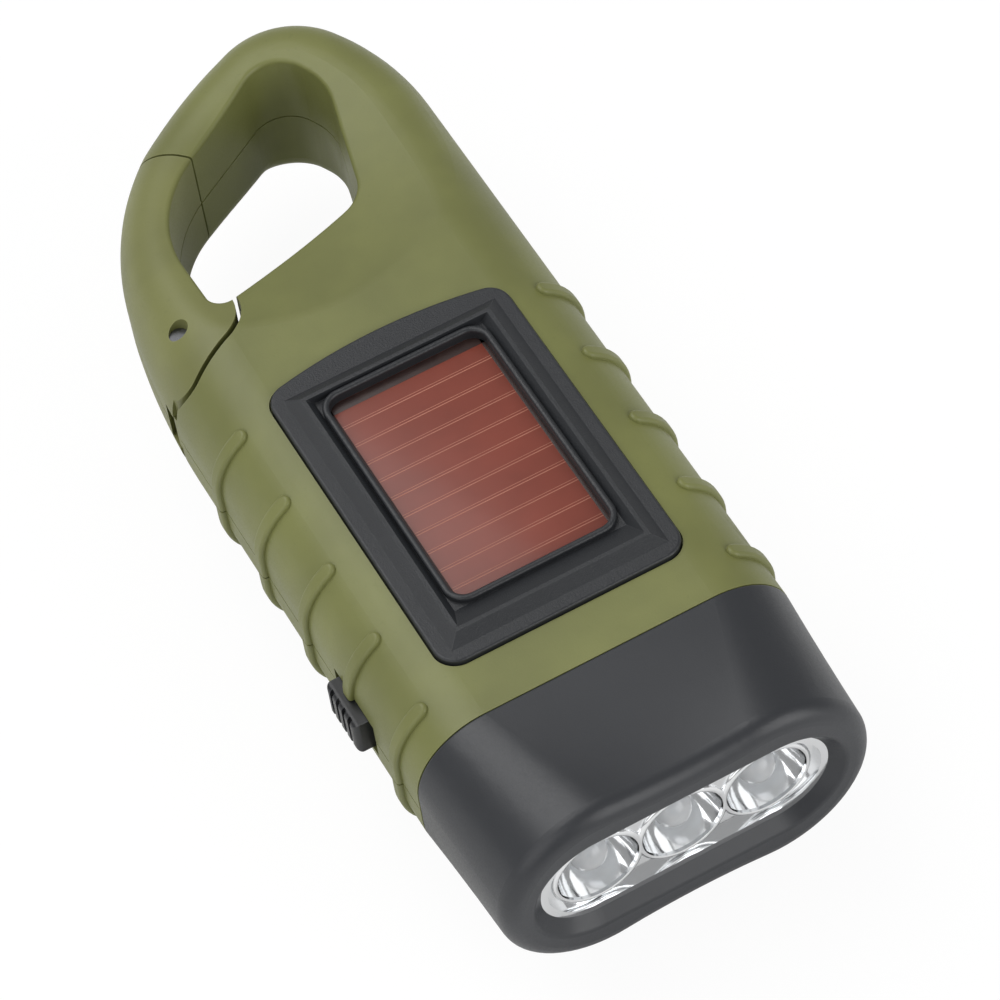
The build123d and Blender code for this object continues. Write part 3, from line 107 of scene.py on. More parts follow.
class ShaderGraph:
    """A material's nodes, added and joined by short calls."""

    def __init__(self, name: str) -> None:
        """Start a material that has only its output node.

        Args:
            name: The material's name.
        """
        self.material = bpy.data.materials.new(name)
        self.material.use_nodes = True
        self.nodes = self.material.node_tree.nodes
        self.links = self.material.node_tree.links
        self.nodes.clear()
        self.output = self.nodes.new("ShaderNodeOutputMaterial")
        self.coordinates = self.nodes.new("ShaderNodeTexCoord").outputs["Object"]

    def node(self, kind: str, **settings: object) -> bpy.types.Node:
        """Add a node and set its plain properties.

        Args:
            kind: Blender's name of the node type.
            **settings: Properties of the node, by name.

        Returns:
            The new node.
        """
        made = self.nodes.new(kind)
        for key, value in settings.items():
            setattr(made, key, value)
        return made

    def join(self, source: bpy.types.NodeSocket, target: bpy.types.NodeSocket) -> None:
        """Link an output to an input."""
        self.links.new(source, target)

    def noise(self, size: float, detail: float = 2.0, roughness: float = 0.5) -> bpy.types.NodeSocket:
        """Add noise over the object's own coordinates.

        Args:
            size: Size of one blotch, in metres.
            detail: Octaves of finer noise.
            roughness: Strength of the finer noise.

        Returns:
            The noise's factor output.
        """
        made = self.node("ShaderNodeTexNoise")
        made.inputs["Scale"].default_value = 1 / size
        made.inputs["Detail"].default_value = detail
        made.inputs["Roughness"].default_value = roughness
        self.join(self.coordinates, made.inputs["Vector"])
        return made.outputs["Factor"] if "Factor" in made.outputs else made.outputs["Fac"]

    def spread(
        self, source: bpy.types.NodeSocket, limits: Sequence[float], values: Sequence[float]
    ) -> bpy.types.NodeSocket:
        """Map a value from one range to another, clamped at its ends.

        Args:
            source: The value to map.
            limits: The source's low and high ends.
            values: The result's low and high ends.

        Returns:
            The mapped value.
        """
        made = self.node("ShaderNodeMapRange")
        made.inputs["From Min"].default_value = limits[0]
        made.inputs["From Max"].default_value = limits[1]
        made.inputs["To Min"].default_value = values[0]
        made.inputs["To Max"].default_value = values[1]
        self.join(source, made.inputs["Value"])
        return made.outputs["Result"]

    def blend(self, factor: bpy.types.NodeSocket, low: object, high: object) -> bpy.types.NodeSocket:
        """Mix two colours by a factor.

        Args:
            factor: The share of the second colour.
            low: A colour or a socket, shown where the factor is 0.
            high: A colour or a socket, shown where the factor is 1.

        Returns:
            The mixed colour.
        """
        made = self.node("ShaderNodeMix", data_type="RGBA")
        self.join(factor, made.inputs["Factor"])
        for value, socket in ((low, made.inputs["A"]), (high, made.inputs["B"])):
            if isinstance(value, bpy.types.NodeSocket):
                self.join(value, socket)
            else:
                socket.default_value = (*value, 1.0)
        return made.outputs["Result"]

    def times(self, first: bpy.types.NodeSocket, second: bpy.types.NodeSocket) -> bpy.types.NodeSocket:
        """Multiply two values."""
        made = self.node("ShaderNodeMath", operation="MULTIPLY")
        self.join(first, made.inputs[0])
        self.join(second, made.inputs[1])
        return made.outputs["Value"]

    def edges(self, radius: float) -> bpy.types.NodeSocket:
        """Mark the convex and concave edges of the surface.

        Args:
            radius: How far from an edge the mark reaches, in metres.

        Returns:
            About 1 on an edge and 0 on an open face.
        """
        bevel = self.node("ShaderNodeBevel", samples=4)
        bevel.inputs["Radius"].default_value = radius
        geometry = self.node("ShaderNodeNewGeometry")
        dot = self.node("ShaderNodeVectorMath", operation="DOT_PRODUCT")
        self.join(bevel.outputs["Normal"], dot.inputs[0])
        self.join(geometry.outputs["Normal"], dot.inputs[1])
        return self.spread(dot.outputs["Value"], (0.99, 0.80), (0.0, 1.0))

    def bump(self, height: bpy.types.NodeSocket, depth: float, strength: float = 1.0) -> bpy.types.NodeSocket:
        """Add relief to the surface.

        Args:
            height: The relief's height, from 0 to 1.
            depth: The depth of the full relief, in metres.
            strength: How much of the relief shows.

        Returns:
            The surface's new normal.
        """
        made = self.node("ShaderNodeBump")
        made.inputs["Distance"].default_value = depth
        made.inputs["Strength"].default_value = strength
        self.join(height, made.inputs["Height"])
        return made.outputs["Normal"]

    def surface(self, **values: object) -> bpy.types.Node:
        """Add the Principled shader and join it to the output.

        Args:
            **values: Inputs by name, with underscores for spaces, as numbers, colours or sockets.

        Returns:
            The shader node.
        """
        shader = self.node("ShaderNodeBsdfPrincipled")
        for key, value in values.items():
            socket = shader.inputs[key.replace("_", " ")]
            if isinstance(value, bpy.types.NodeSocket):
                self.join(value, socket)
            elif isinstance(value, tuple):
                socket.default_value = (*value, 1.0)
            else:
                socket.default_value = value
        self.join(shader.outputs["BSDF"], self.output.inputs["Surface"])
        return shader


@dataclass(frozen=True)
class MouldedPlastic:
    """Spark-eroded moulded plastic: fine grain, faint flow marks and rubbed edges."""

    name: str
    colour: Colour
    rubbed: Colour
    roughness: float
    grain: float = 0.25 * MM
    depth: float = 0.010 * MM
    drift: float = 0.10
    edge: float = 0.35 * MM
    wear: float = 0.5
    coat: float = 0.0
    coat_roughness: float = 0.25
    flow_size: float = 14 * MM
    speck_size: float = 0.6 * MM
    speck_share: float = 0.35
    scuff_size: float = 2.2 * MM
    scuff_floor: float = 0.15

    def material(self) -> bpy.types.Material:
        """Make the finish as a material."""
        graph = ShaderGraph(self.name)
        darker = tuple(value * (1 - self.drift) for value in self.colour)
        lighter = tuple(min(1.0, value * (1 + self.drift)) for value in self.colour)
        flow = graph.spread(graph.noise(self.flow_size, 3.0), (0.35, 0.65), (0.0, 1.0))
        base = graph.blend(flow, darker, lighter)
        specks = graph.spread(graph.noise(self.speck_size), (0.62, 0.75), (0.0, self.speck_share))
        base = graph.blend(specks, base, darker)
        rubbing = graph.noise(self.scuff_size, 4.0, 0.65)
        scuffs = graph.spread(rubbing, (0.42, 0.68), (self.scuff_floor, self.wear))
        worn = graph.times(graph.edges(self.edge), scuffs)
        colour = graph.blend(worn, base, self.rubbed)
        grain = graph.noise(self.grain, 3.0, 0.6)
        rough = graph.spread(grain, (0.3, 0.7), (self.roughness - 0.06, self.roughness + 0.07))
        graph.surface(
            Base_Color=colour,
            Roughness=rough,
            Normal=graph.bump(grain, self.depth),
            Coat_Weight=self.coat,
            Coat_Roughness=self.coat_roughness,
        )
        return graph.material


@dataclass(frozen=True)
class Metal:
    """Metal with fine drawing lines or pits and a little tarnish."""

    name: str
    colour: Colour
    tarnish: Colour
    roughness: float
    grain: float = 0.3 * MM
    depth: float = 0.004 * MM
    spots: float = 0.25
    patch_size: float = 3.5 * MM

    def material(self) -> bpy.types.Material:
        """Make the finish as a material."""
        graph = ShaderGraph(self.name)
        patches = graph.spread(graph.noise(self.patch_size, 4.0, 0.6), (0.45, 0.8), (0.0, self.spots))
        worn = graph.blend(patches, self.colour, self.tarnish)
        grain = graph.noise(self.grain, 3.0)
        rough = graph.spread(grain, (0.3, 0.7), (self.roughness * 0.75, self.roughness * 1.3))
        graph.surface(
            Base_Color=worn,
            Metallic=1.0,
            Roughness=rough,
            Normal=graph.bump(grain, self.depth),
        )
        return graph.material


@dataclass(frozen=True)
class ClearResin:
    """Cast resin, part clear and part milky, with a faint tint and slight ripples."""

    name: str
    tint: Colour
    still: Colour = (0.97, 0.98, 0.99)
    roughness: float = 0.03
    clarity: float = 0.5
    index: float = 1.5
    ripple: float = 1.2 * MM
    depth: float = 0.012 * MM

    def material(self) -> bpy.types.Material:
        """Make the finish as a material."""
        graph = ShaderGraph(self.name)
        ripple = graph.noise(self.ripple, 2.0)
        tint = graph.blend(graph.spread(ripple, (0.3, 0.7), (0.0, 1.0)), self.tint, self.still)
        rough = graph.spread(ripple, (0.3, 0.7), (self.roughness, self.roughness * 2))
        graph.surface(
            Base_Color=tint,
            Roughness=rough,
            Transmission_Weight=self.clarity,
            IOR=self.index,
            Normal=graph.bump(ripple, self.depth),
        )
        return graph.material


@dataclass(frozen=True)
class SolarWafer:
    """Amorphous silicon under glass: red-brown with a soft sheen and slow cloudy drift."""

    name: str
    colour: Colour
    deep: Colour
    roughness: float = 0.38
    cloud_size: float = 11 * MM
    speckle_size: float = 0.2 * MM
    speckle_depth: float = 0.002 * MM
    coat: float = 0.22
    coat_roughness: float = 0.15

    def material(self) -> bpy.types.Material:
        """Make the finish as a material."""
        graph = ShaderGraph(self.name)
        cloud = graph.spread(graph.noise(self.cloud_size, 3.0, 0.55), (0.3, 0.7), (0.0, 1.0))
        base = graph.blend(cloud, self.deep, self.colour)
        fine = graph.noise(self.speckle_size)
        speckle = graph.spread(fine, (0.62, 0.8), (0.0, 0.3))
        colour = graph.blend(speckle, base, self.deep)
        rough = graph.spread(fine, (0.3, 0.7), (self.roughness - 0.04, self.roughness + 0.05))
        graph.surface(
            Base_Color=colour,
            Roughness=rough,
            Coat_Weight=self.coat,
            Coat_Roughness=self.coat_roughness,
            Normal=graph.bump(fine, self.speckle_depth),
        )
        return graph.material


@dataclass(frozen=True)
class Laminate:
    """Circuit board laminate: glass weave under solder resist."""

    name: str
    colour: Colour
    weave: Colour
    pitch: float = 0.5 * MM
    pitches_per_wave: float = 6.0
    grain: float = 0.2 * MM
    depth: float = 0.004 * MM

    def material(self) -> bpy.types.Material:
        """Make the finish as a material."""
        graph = ShaderGraph(self.name)
        wave = graph.node("ShaderNodeTexWave", wave_type="BANDS", bands_direction="DIAGONAL")
        wave.inputs["Scale"].default_value = 1 / (self.pitch * self.pitches_per_wave)
        graph.join(graph.coordinates, wave.inputs["Vector"])
        share = graph.spread(wave.outputs["Fac"], (0.2, 0.8), (0.0, 0.5))
        colour = graph.blend(share, self.colour, self.weave)
        grain = graph.noise(self.grain)
        rough = graph.spread(grain, (0.3, 0.7), (0.28, 0.42))
        relief = graph.bump(wave.outputs["Fac"], self.depth)
        graph.surface(Base_Color=colour, Roughness=rough, Normal=relief)
        return graph.material


class Palette:
    """Every finish of the flashlight, made once."""

    def __init__(self) -> None:
        """Make all the materials."""
        self.green = MouldedPlastic(
            "olive_shell", from_photo(121, 124, 72), from_photo(146, 149, 104), 0.42
        ).material()
        self.gate_green = MouldedPlastic(
            "olive_gate", from_photo(122, 124, 74), from_photo(146, 149, 104), 0.42
        ).material()
        self.head_black = MouldedPlastic(
            "head_black", from_photo(46, 48, 52), from_photo(96, 98, 101), 0.4, drift=0.05, coat=0.15
        ).material()
        self.bezel_black = MouldedPlastic(
            "bezel_black",
            from_photo(42, 44, 47),
            from_photo(96, 98, 100),
            0.34,
            grain=0.2 * MM,
            depth=0.045 * MM,
            drift=0.05,
        ).material()
        self.switch_black = MouldedPlastic(
            "switch_black", from_photo(34, 35, 37), from_photo(110, 112, 114), 0.34, drift=0.06
        ).material()
        self.crank_black = MouldedPlastic(
            "crank_black", from_photo(48, 49, 52), from_photo(92, 94, 96), 0.42, drift=0.06
        ).material()
        self.acetal = MouldedPlastic(
            "natural_acetal", from_photo(222, 220, 208), from_photo(240, 240, 232), 0.38, drift=0.03
        ).material()
        self.chrome = Metal(
            "plated_reflector",
            from_photo(246, 247, 248),
            from_photo(232, 234, 236),
            0.09,
            grain=1.5 * MM,
            depth=0.006 * MM,
            spots=0.15,
        ).material()
        self.steel = Metal(
            "bright_steel", from_photo(190, 191, 193), from_photo(140, 138, 134), 0.28
        ).material()
        self.dark_steel = Metal(
            "magnet_steel", from_photo(120, 121, 124), from_photo(84, 83, 82), 0.36
        ).material()
        self.brass = Metal(
            "turned_brass", from_photo(205, 170, 98), from_photo(150, 112, 60), 0.25
        ).material()
        self.copper = Metal(
            "enamelled_copper", from_photo(190, 112, 62), from_photo(150, 78, 40), 0.22
        ).material()
        self.lens = ClearResin("clear_lamp_resin", from_photo(244, 247, 250)).material()
        self.phosphor = MouldedPlastic(
            "lamp_phosphor",
            from_photo(226, 214, 150),
            from_photo(240, 232, 190),
            0.5,
            grain=0.1 * MM,
            drift=0.06,
        ).material()
        self.wafer = SolarWafer("solar_wafer", from_photo(138, 64, 48), from_photo(124, 56, 41)).material()
        self.finger = MouldedPlastic(
            "printed_fingers", from_photo(176, 112, 92), from_photo(190, 130, 110), 0.45, drift=0.12
        ).material()
        # Dark edge round the solar window: partly the cell's frame, partly painted shadow under the bezel's
        # inner lip.
        self.edge_and_shade = MouldedPlastic(
            "cell_edge_and_painted_shade", from_photo(46, 30, 28), from_photo(70, 52, 46), 0.4, grain=0.15 * MM, drift=0.08
        ).material()
        self.white_board = Laminate(
            "lamp_board", from_photo(232, 234, 232), from_photo(214, 218, 216)
        ).material()
        self.board = Laminate(
            "board_laminate", from_photo(32, 92, 58), from_photo(52, 118, 74)
        ).material()
        self.component = MouldedPlastic(
            "dark_component", from_photo(40, 40, 43), from_photo(80, 80, 84), 0.45, drift=0.06
        ).material()


class Workpiece:
    """One new piece, drawn out ring by ring with Blender's own tools."""

    def __init__(self, name: str, axis: Axis = Axis.Z) -> None:
        """Start a piece.

        Args:
            name: The piece's name.
            axis: The axis along which it is drawn out.
        """
        self.name = name
        self.axis = Vector(axis.value)
        self.turn = Euler((math.radians(90), 0, 0)) if axis is Axis.Y else Euler((0, 0, 0))
        self.centre = Vector((0, 0, 0))
        self.radius = 0.0
        self.object: bpy.types.Object | None = None
        bpy.ops.object.select_all(action="DESELECT")

    def ring(self, radius: float, centre: Sequence[float], sides: int = 32) -> "Workpiece":
        """Add the first open ring.

        Args:
            radius: The ring's radius.
            centre: The ring's centre.
            sides: How many sides the ring has.

        Returns:
            This piece.
        """
        self.centre = Vector(centre)
        bpy.ops.mesh.primitive_circle_add(
            vertices=sides, radius=radius, location=self.centre, rotation=self.turn
        )
        self.object = bpy.context.object
        self.object.name = self.name
        bpy.ops.object.transform_apply(location=True, rotation=True, scale=True)
        bpy.ops.object.mode_set(mode="EDIT")
        bpy.ops.mesh.select_all(action="SELECT")
        self.radius = radius
        return self

    def draw(self, profile: Iterable[tuple[float, float]]) -> "Workpiece":
        """Extrude the ring through a profile.

        Args:
            profile: Pairs of travel along the axis from the last ring, and the new radius.

        Returns:
            This piece.
        """
        for travel, radius in profile:
            step = self.axis * travel
            bpy.ops.mesh.extrude_region_move(TRANSFORM_OT_translate={"value": step})
            self.centre = self.centre + step
            share = radius / self.radius
            bpy.ops.transform.resize(value=(share, share, share), center_override=self.centre)
            self.radius = radius
        return self

    def close_end(self) -> "Workpiece":
        """Fill the last ring."""
        bpy.ops.mesh.edge_face_add()
        return self

    def close_start(self) -> "Workpiece":
        """Fill the first ring, which is the only other open one."""
        bpy.ops.mesh.select_all(action="DESELECT")
        bpy.ops.mesh.select_non_manifold()
        bpy.ops.mesh.edge_face_add()
        return self

    def box(self, low: Sequence[float], high: Sequence[float], bevel: float) -> "Workpiece":
        """Add a block with bevelled edges.

        Args:
            low: The lowest corner.
            high: The highest corner.
            bevel: The bevel's width.

        Returns:
            This piece.
        """
        size = Vector(high) - Vector(low)
        bpy.ops.mesh.primitive_cube_add(size=1, location=(Vector(high) + Vector(low)) / 2)
        self.object = bpy.context.object
        self.object.name = self.name
        self.object.scale = size
        bpy.ops.object.transform_apply(location=True, rotation=True, scale=True)
        bpy.ops.object.mode_set(mode="EDIT")
        bpy.ops.mesh.select_all(action="SELECT")
        bpy.ops.mesh.bevel(offset=bevel, segments=2, profile=0.6)
        return self

    def repeat(self, offset: Sequence[float], count: int) -> "Workpiece":
        """Copy the piece along a line with an Array modifier.

        Args:
            offset: The step from one copy to the next.
            count: How many there are in all.

        Returns:
            This piece.
        """
        self.leave_edit()
        array = self.object.modifiers.new("repeat", "ARRAY")
        array.use_relative_offset = False
        array.use_constant_offset = True
        array.constant_offset_displace = offset
        array.count = count
        bpy.ops.object.modifier_apply(modifier=array.name)
        return self

    def leave_edit(self) -> None:
        """Go back to object mode with only this piece selected."""
        if bpy.context.mode != "OBJECT":
            bpy.ops.object.mode_set(mode="OBJECT")
        self.select_only()

    def select_only(self) -> None:
        """Select this piece alone."""
        bpy.ops.object.select_all(action="DESELECT")
        self.object.select_set(True)
        bpy.context.view_layer.objects.active = self.object

    def finish(
        self, finish: bpy.types.Material, body: str, slot: str, angle: float = 35.0
    ) -> bpy.types.Object:
        """Shade, dress and hang the finished piece on its body.

        Args:
            finish: The material.
            body: The CAD body that it moves with.
            slot: The record's material slot; not used.
            angle: Edges flatter than this many degrees are smoothed.

        Returns:
            The finished object.
        """
        self.leave_edit()
        bpy.ops.object.mode_set(mode="EDIT")
        bpy.ops.mesh.select_all(action="SELECT")
        bpy.ops.mesh.remove_doubles(threshold=1e-6)
        bpy.ops.mesh.normals_make_consistent(inside=False)
        bpy.ops.object.mode_set(mode="OBJECT")
        bpy.ops.object.shade_smooth_by_angle(angle=math.radians(angle))
        self.object.data.materials.clear()
        self.object.data.materials.append(finish)
        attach(self.object, body)
        LOG.info("piece %s on %s: %d faces", self.name, body, len(self.object.data.polygons))
        return self.object


class Dresser:
    """Gives the CAD nodes their finishes."""

    def __init__(self, nodes: dict[str, bpy.types.Object]) -> None:
        """Keep the frame's nodes.

        Args:
            nodes: The CAD nodes by name.
        """
        self.nodes = nodes

    def dress(self, finish: bpy.types.Material, *names: str) -> None:
        """Give some CAD nodes one finish.

        Args:
            finish: The material.
            *names: The nodes.
        """
        for name in names:
            node = self.nodes[name]
            if not node.material_slots:
                node.data.materials.append(finish)
            for slot in node.material_slots:
                slot.material = finish
            LOG.info("node %s: %s", name, finish.name)


@dataclass
class Housing:
    """The two moulded shells, the gate and their screws."""

    dresser: Dresser
    palette: Palette

    def build(self) -> None:
        """Dress the shells and the gate."""
        self.dresser.dress(self.palette.green, "upper_shell", "lower_shell")
        self.dresser.dress(self.palette.gate_green, "gate_upper_half", "gate_lower_half")
        # The gate screw takes the darker steel, partly as painted shade for the dark end of its hole.
        self.dresser.dress(self.palette.dark_steel, "gate_screw")
        self.dresser.dress(self.palette.steel, "gate_hinge_pin", "gate_spring", "case_screws")


@dataclass
class SolarPanel:
    """The bezel and the cell with its printed lines."""

    dresser: Dresser
    palette: Palette
    # Width of the dark edge round the window, partly the cell's frame and partly painted shadow under the
    # bezel's lip. The far side has an extra strip of the same frame edge and painted shadow.
    edge_and_shade: float = 0.5 * MM
    far_edge_and_shade: float = 1.0 * MM
    lap: float = 1.0 * MM
    finger_width: float = 0.13 * MM
    finger_height: float = 0.012 * MM
    finger_bevel: float = 0.01 * MM
    finger_sink: float = 0.01 * MM
    pair_gap: float = 0.40 * MM
    second_share: float = 0.65
    count: int = 10
    spare_pitches: float = 0.4
    first_pitch: float = 0.55
    wafer_drop: float = 0.06 * MM
    wafer_bevel: float = 0.1 * MM
    edge_and_shade_sink: float = 0.02 * MM
    edge_and_shade_rise: float = 0.012 * MM
    edge_and_shade_bevel: float = 0.006 * MM

    def build(self) -> None:
        """Build the cell and dress the bezel."""
        self.dresser.dress(self.palette.bezel_black, "solar_bezel")
        low, high = (Vector(corner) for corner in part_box("solar_cell"))
        top = high.z - self.wafer_drop
        wafer = Workpiece("solar_wafer").box(low, (high.x, high.y, top), self.wafer_bevel)
        plate = wafer.finish(self.palette.wafer, "housing", "solar_glass")
        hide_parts("solar_cell")
        self.build_edge_and_shade(low, high, top)
        self.build_fingers(low, high, top)

    def build_edge_and_shade(self, low: Vector, high: Vector, top: float) -> None:
        """Lay the dark edge round the window. It is partly the cell's frame and partly painted shadow under
        the bezel's inner lip, with a wider strip on the far side.

        Args:
            low: The cell's lowest corner.
            high: The cell's highest corner.
            top: Height of the cell's upper face.
        """
        inner = self.lap + self.edge_and_shade
        left, near = low.x + self.lap, low.y + self.lap
        right, far = high.x - self.lap, high.y - self.lap
        # Dark strips of frame edge and painted shadow under the bezel's lip; the far strip is wider.
        sides = (
            ("edge_and_shade_left", (left, near), (low.x + inner, far)),
            ("edge_and_shade_right", (high.x - inner, near), (right, far)),
            ("edge_and_shade_near", (left, near), (right, low.y + inner)),
            ("edge_and_shade_far", (left, high.y - inner - self.far_edge_and_shade), (right, far)),
        )
        for name, start, end in sides:
            bottom, rise = top - self.edge_and_shade_sink, top + self.edge_and_shade_rise
            strip = Workpiece(name).box((*start, bottom), (*end, rise), self.edge_and_shade_bevel)
            strip.finish(self.palette.edge_and_shade, "housing", "solar_glass")

    def build_fingers(self, low: Vector, high: Vector, top: float) -> None:
        """Print the paired light lines across the cell.

        Args:
            low: The cell's lowest corner.
            high: The cell's highest corner.
            top: Height of the cell's upper face.
        """
        inner = self.lap + self.edge_and_shade
        length = high.y - low.y - 2 * inner - self.far_edge_and_shade
        pitch = length / (self.count + self.spare_pitches)
        first = low.y + inner + self.first_pitch * pitch
        widths = (self.finger_width, self.finger_width * self.second_share)
        for index, (offset, width) in enumerate(zip((0.0, self.pair_gap), widths)):
            start = (low.x + inner, first + offset, top - self.finger_sink)
            end = (high.x - inner, first + offset + width, top + self.finger_height)
            line = Workpiece(f"fingers_{index}").box(start, end, self.finger_bevel)
            line.repeat((0, pitch, 0), self.count)
            line.finish(self.palette.finger, "housing", "solar_glass")


@dataclass
class LampHead:
    """The black head, its plated reflector and the three lamps."""

    dresser: Dresser
    palette: Palette
    count: int = 3
    flange_radius: float = 2.9 * MM
    flange_depth: float = 0.95 * MM
    lens_radius: float = 2.5 * MM
    lens_sides: int = 40
    lens_angle: float = 50.0
    steps: int = 8
    cup_back: float = 2.6 * MM
    cup_foot: float = 0.5 * MM
    cup_sides: int = 24
    chip_sink: float = 0.02 * MM
    post_offset: float = 0.65 * MM
    post_half_width: float = 0.22 * MM
    post_half_height: float = 0.25 * MM
    post_front: float = 0.2 * MM
    post_rear: float = 0.05 * MM
    post_bevel: float = 0.06 * MM
    cup_profile: tuple[tuple[float, float], ...] = (
        (-0.55 * MM, 0.95 * MM),
        (-0.02 * MM, 1.12 * MM),
        (0.75 * MM, 1.1 * MM),
        (0.0, 0.4 * MM),
    )
    chip_profile: tuple[tuple[float, float], ...] = ((-0.35 * MM, 0.75 * MM), (-0.06 * MM, 0.5 * MM))
    height: float = 0.0
    back: float = 0.0
    tip: float = 0.0

    def build(self) -> None:
        """Dress the head and build the lamps."""
        self.dresser.dress(self.palette.head_black, "head_cap")
        self.dresser.dress(self.palette.chrome, "reflector")
        self.dresser.dress(self.palette.white_board, "led_board")
        low, high = (Vector(corner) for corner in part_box("leds"))
        self.height = (low.z + high.z) / 2
        self.back = high.y
        self.tip = low.y
        pitch = (high.x - low.x - 2 * self.flange_radius) / (self.count - 1)
        for index in range(self.count):
            lens = self.build_lamp(index, pitch * (index - (self.count - 1) / 2))
            if index == 0:
                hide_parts("leds")

    def build_lamp(self, index: int, x: float) -> bpy.types.Object:
        """Build one lamp: resin body, cup, chip and posts.

        Args:
            index: The lamp's number.
            x: The lamp's place across the head.

        Returns:
            The resin body.
        """
        lens = self.build_lens(index, x)
        cup_y = self.back - self.cup_back
        self.build_cup(index, x, cup_y)
        self.build_posts(index, x, cup_y)
        return lens

    def build_lens(self, index: int, x: float) -> bpy.types.Object:
        """Draw one lamp's flanged body and its dome.

        Args:
            index: The lamp's number.
            x: The lamp's place across the head.

        Returns:
            The resin body.
        """
        dome = self.tip + self.lens_radius
        profile = [(-self.flange_depth, self.flange_radius), (0, self.lens_radius)]
        profile.append((dome - (self.back - self.flange_depth), self.lens_radius))
        last = 0.0
        for step in range(1, self.steps):
            turn = math.radians(90) * step / self.steps
            rise = self.lens_radius * math.sin(turn)
            profile.append((-(rise - last), self.lens_radius * math.cos(turn)))
            last = rise
        body = Workpiece(f"lamp_body_{index}", Axis.Y)
        body.ring(self.flange_radius, (x, self.back, self.height), self.lens_sides)
        body.draw(profile).close_end().close_start()
        return body.finish(self.palette.lens, "housing", "lamp_lens", self.lens_angle)

    def build_cup(self, index: int, x: float, cup_y: float) -> None:
        """Put a plated cup and its chip into the resin.

        Args:
            index: The lamp's number.
            x: The lamp's place across the head.
            cup_y: The cup's foot along the body.
        """
        cup = Workpiece(f"lamp_cup_{index}", Axis.Y)
        cup.ring(self.cup_foot, (x, cup_y, self.height), self.cup_sides)
        cup.draw(self.cup_profile)
        cup.finish(self.palette.chrome, "housing", "steel")
        chip = Workpiece(f"lamp_chip_{index}", Axis.Y)
        chip.ring(self.cup_foot, (x, cup_y - self.chip_sink, self.height), self.cup_sides)
        chip.draw(self.chip_profile).close_end().close_start()
        chip.finish(self.palette.phosphor, "housing", "lamp_lens")

    def build_posts(self, index: int, x: float, cup_y: float) -> None:
        """Lead two posts from the cup out of the resin's back.

        Args:
            index: The lamp's number.
            x: The lamp's place across the head.
            cup_y: The cup's foot along the body.
        """
        front, rear = cup_y + self.post_front, self.back - self.post_rear
        for name, side in (("left", -1), ("right", 1)):
            middle = x + side * self.post_offset
            low = (middle - self.post_half_width, front, self.height - self.post_half_height)
            high = (middle + self.post_half_width, rear, self.height + self.post_half_height)
            post = Workpiece(f"lamp_post_{index}_{name}").box(low, high, self.post_bevel)
            post.finish(self.palette.steel, "housing", "steel")


@dataclass
class SlideSwitch:
    """The ridged slider and the switch behind it."""

    dresser: Dresser
    palette: Palette

    def build(self) -> None:
        """Dress the slider and the switch body."""
        self.dresser.dress(self.palette.switch_black, "switch_slider", "switch_body")


@dataclass
class Gearbox:
    """The crank's gear train and the dynamo."""

    dresser: Dresser
    palette: Palette

    def build(self) -> None:
        """Dress the gears and the dynamo."""
        self.dresser.dress(self.palette.acetal, "drive_gear", "middle_gear", "fast_gear", "gearbox_plate")
        self.dresser.dress(self.palette.steel, "middle_axle", "fast_axle", "dynamo_can")
        self.dresser.dress(self.palette.dark_steel, "rotor")
        self.dresser.dress(self.palette.copper, "dynamo_coil")
        self.dresser.dress(self.palette.brass, "crank_bush")


@dataclass
class HandCrank:
    """The folding crank under the body."""

    dresser: Dresser
    palette: Palette

    def build(self) -> None:
        """Dress the crank."""
        self.dresser.dress(self.palette.crank_black, "crank_arm", "crank_cap", "knob", "knob_cap")
        self.dresser.dress(self.palette.steel, "crank_screw", "knob_hinge_pin", "knob_link")


@dataclass
class Electronics:
    """The charging board and the cells."""

    dresser: Dresser
    palette: Palette

    def build(self) -> None:
        """Dress the board, its parts and the cells."""
        self.dresser.dress(self.palette.board, "main_board")
        self.dresser.dress(self.palette.component, "board_parts", "battery_tray")
        self.dresser.dress(self.palette.steel, "battery_cells")


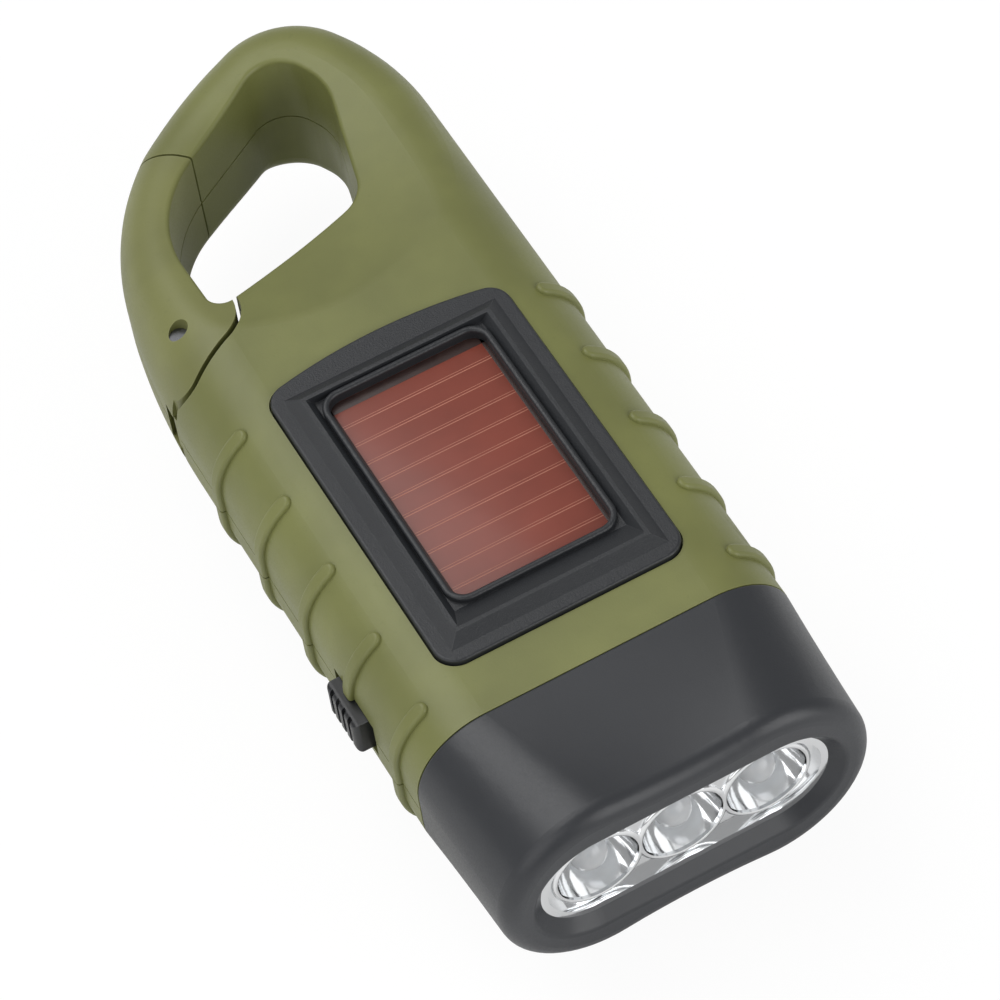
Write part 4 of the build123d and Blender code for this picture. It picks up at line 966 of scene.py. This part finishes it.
@dataclass
class Studio:
    """Pale floor, soft lamps and the camera."""

    camera_place: Vector = field(default_factory=lambda: Vector((-0.12424, -0.34341, 0.50673)))
    heading: float = 68.807
    dip: float = -53.835
    roll: float = -9.13
    lens: float = 175.32
    sensor: float = 36.0
    far_clip: float = 10.0
    floor_size: float = 6.0
    floor_drop: float = 0.2 * MM
    floor_grey: Colour = (0.9, 0.9, 0.9)
    floor_glow: float = 1.03
    floor_share: float = 0.9
    room_light: float = 0.33

    def build(self) -> None:
        """Set the stage."""
        bpy.context.scene.view_settings.view_transform = "Standard"
        self.build_floor()
        self.build_world()
        self.build_lamp("key", (-0.25, 0.42, 0.85), 0.8, 4.7)
        self.build_lamp("fill", (-0.75, -0.35, 0.55), 0.9, 2.3)
        self.build_lamp("front", (0.45, -0.75, 0.4), 0.7, 3.6)
        self.build_camera()

    def build_floor(self) -> None:
        """Lay the floor, which shows white to the camera and keeps a soft shadow."""
        bpy.ops.object.select_all(action="DESELECT")
        bpy.ops.mesh.primitive_plane_add(size=self.floor_size, location=(0, 0, -self.floor_drop))
        floor = bpy.context.object
        floor.name = "floor"
        graph = ShaderGraph("studio_floor")
        diffuse = graph.node("ShaderNodeBsdfDiffuse")
        diffuse.inputs["Color"].default_value = (*self.floor_grey, 1)
        glow = graph.node("ShaderNodeEmission")
        glow.inputs["Strength"].default_value = self.floor_glow
        path = graph.node("ShaderNodeLightPath")
        seen = graph.node("ShaderNodeMath", operation="MAXIMUM")
        graph.join(path.outputs["Is Camera Ray"], seen.inputs[0])
        graph.join(path.outputs["Is Transmission Ray"], seen.inputs[1])
        share = graph.spread(seen.outputs["Value"], (0.0, 1.0), (0.0, self.floor_share))
        mix = graph.node("ShaderNodeMixShader")
        graph.join(share, mix.inputs["Fac"])
        graph.join(diffuse.outputs["BSDF"], mix.inputs[1])
        graph.join(glow.outputs["Emission"], mix.inputs[2])
        graph.join(mix.outputs["Shader"], graph.output.inputs["Surface"])
        floor.data.materials.append(graph.material)

    def build_world(self) -> None:
        """Light the room softly and evenly."""
        world = bpy.data.worlds.new("studio")
        bpy.context.scene.world = world
        world.use_nodes = True
        background = world.node_tree.nodes["Background"]
        background.inputs["Color"].default_value = (1.0, 1.0, 1.0, 1.0)
        background.inputs["Strength"].default_value = self.room_light

    def build_lamp(self, name: str, place: Sequence[float], size: float, power: float) -> None:
        """Hang one soft lamp that faces the object.

        Args:
            name: The lamp's name.
            place: The lamp's place.
            size: The lamp's width.
            power: The lamp's power in watts.
        """
        lamp = bpy.data.lights.new(name, "AREA")
        lamp.size = size
        lamp.energy = power
        holder = bpy.data.objects.new(name, lamp)
        holder.location = place
        holder.rotation_euler = (-Vector(place)).to_track_quat("-Z", "Y").to_euler()
        bpy.context.collection.objects.link(holder)

    def build_camera(self) -> None:
        """Put the camera at the photograph's viewpoint."""
        camera = bpy.data.cameras.new("camera")
        camera.sensor_width = self.sensor
        camera.lens = self.lens
        camera.clip_end = self.far_clip
        holder = bpy.data.objects.new("camera", camera)
        turn, rise = math.radians(self.heading), math.radians(self.dip)
        forward = Vector((math.cos(rise) * math.cos(turn), math.cos(rise) * math.sin(turn), math.sin(rise)))
        right = forward.cross(Vector((0, 0, 1))).normalized()
        right.rotate(Matrix.Rotation(math.radians(-self.roll), 3, forward))
        up = right.cross(forward)
        frame = Matrix((right, up, -forward)).transposed().to_4x4()
        frame.translation = self.camera_place
        holder.matrix_world = frame
        bpy.context.collection.objects.link(holder)
        bpy.context.scene.camera = holder


def main() -> None:
    """Load the frame and build the looks on it."""
    logging.basicConfig(level=logging.INFO, format="%(message)s")
    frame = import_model()
    palette = Palette()
    dresser = Dresser(frame["nodes"])
    for assembly in (
        Housing(dresser, palette),
        SolarPanel(dresser, palette),
        LampHead(dresser, palette),
        SlideSwitch(dresser, palette),
        Gearbox(dresser, palette),
        HandCrank(dresser, palette),
        Electronics(dresser, palette),
    ):
        LOG.info("building %s", type(assembly).__name__)
        assembly.build()
    Studio().build()


if __name__ == "__main__":
    main()
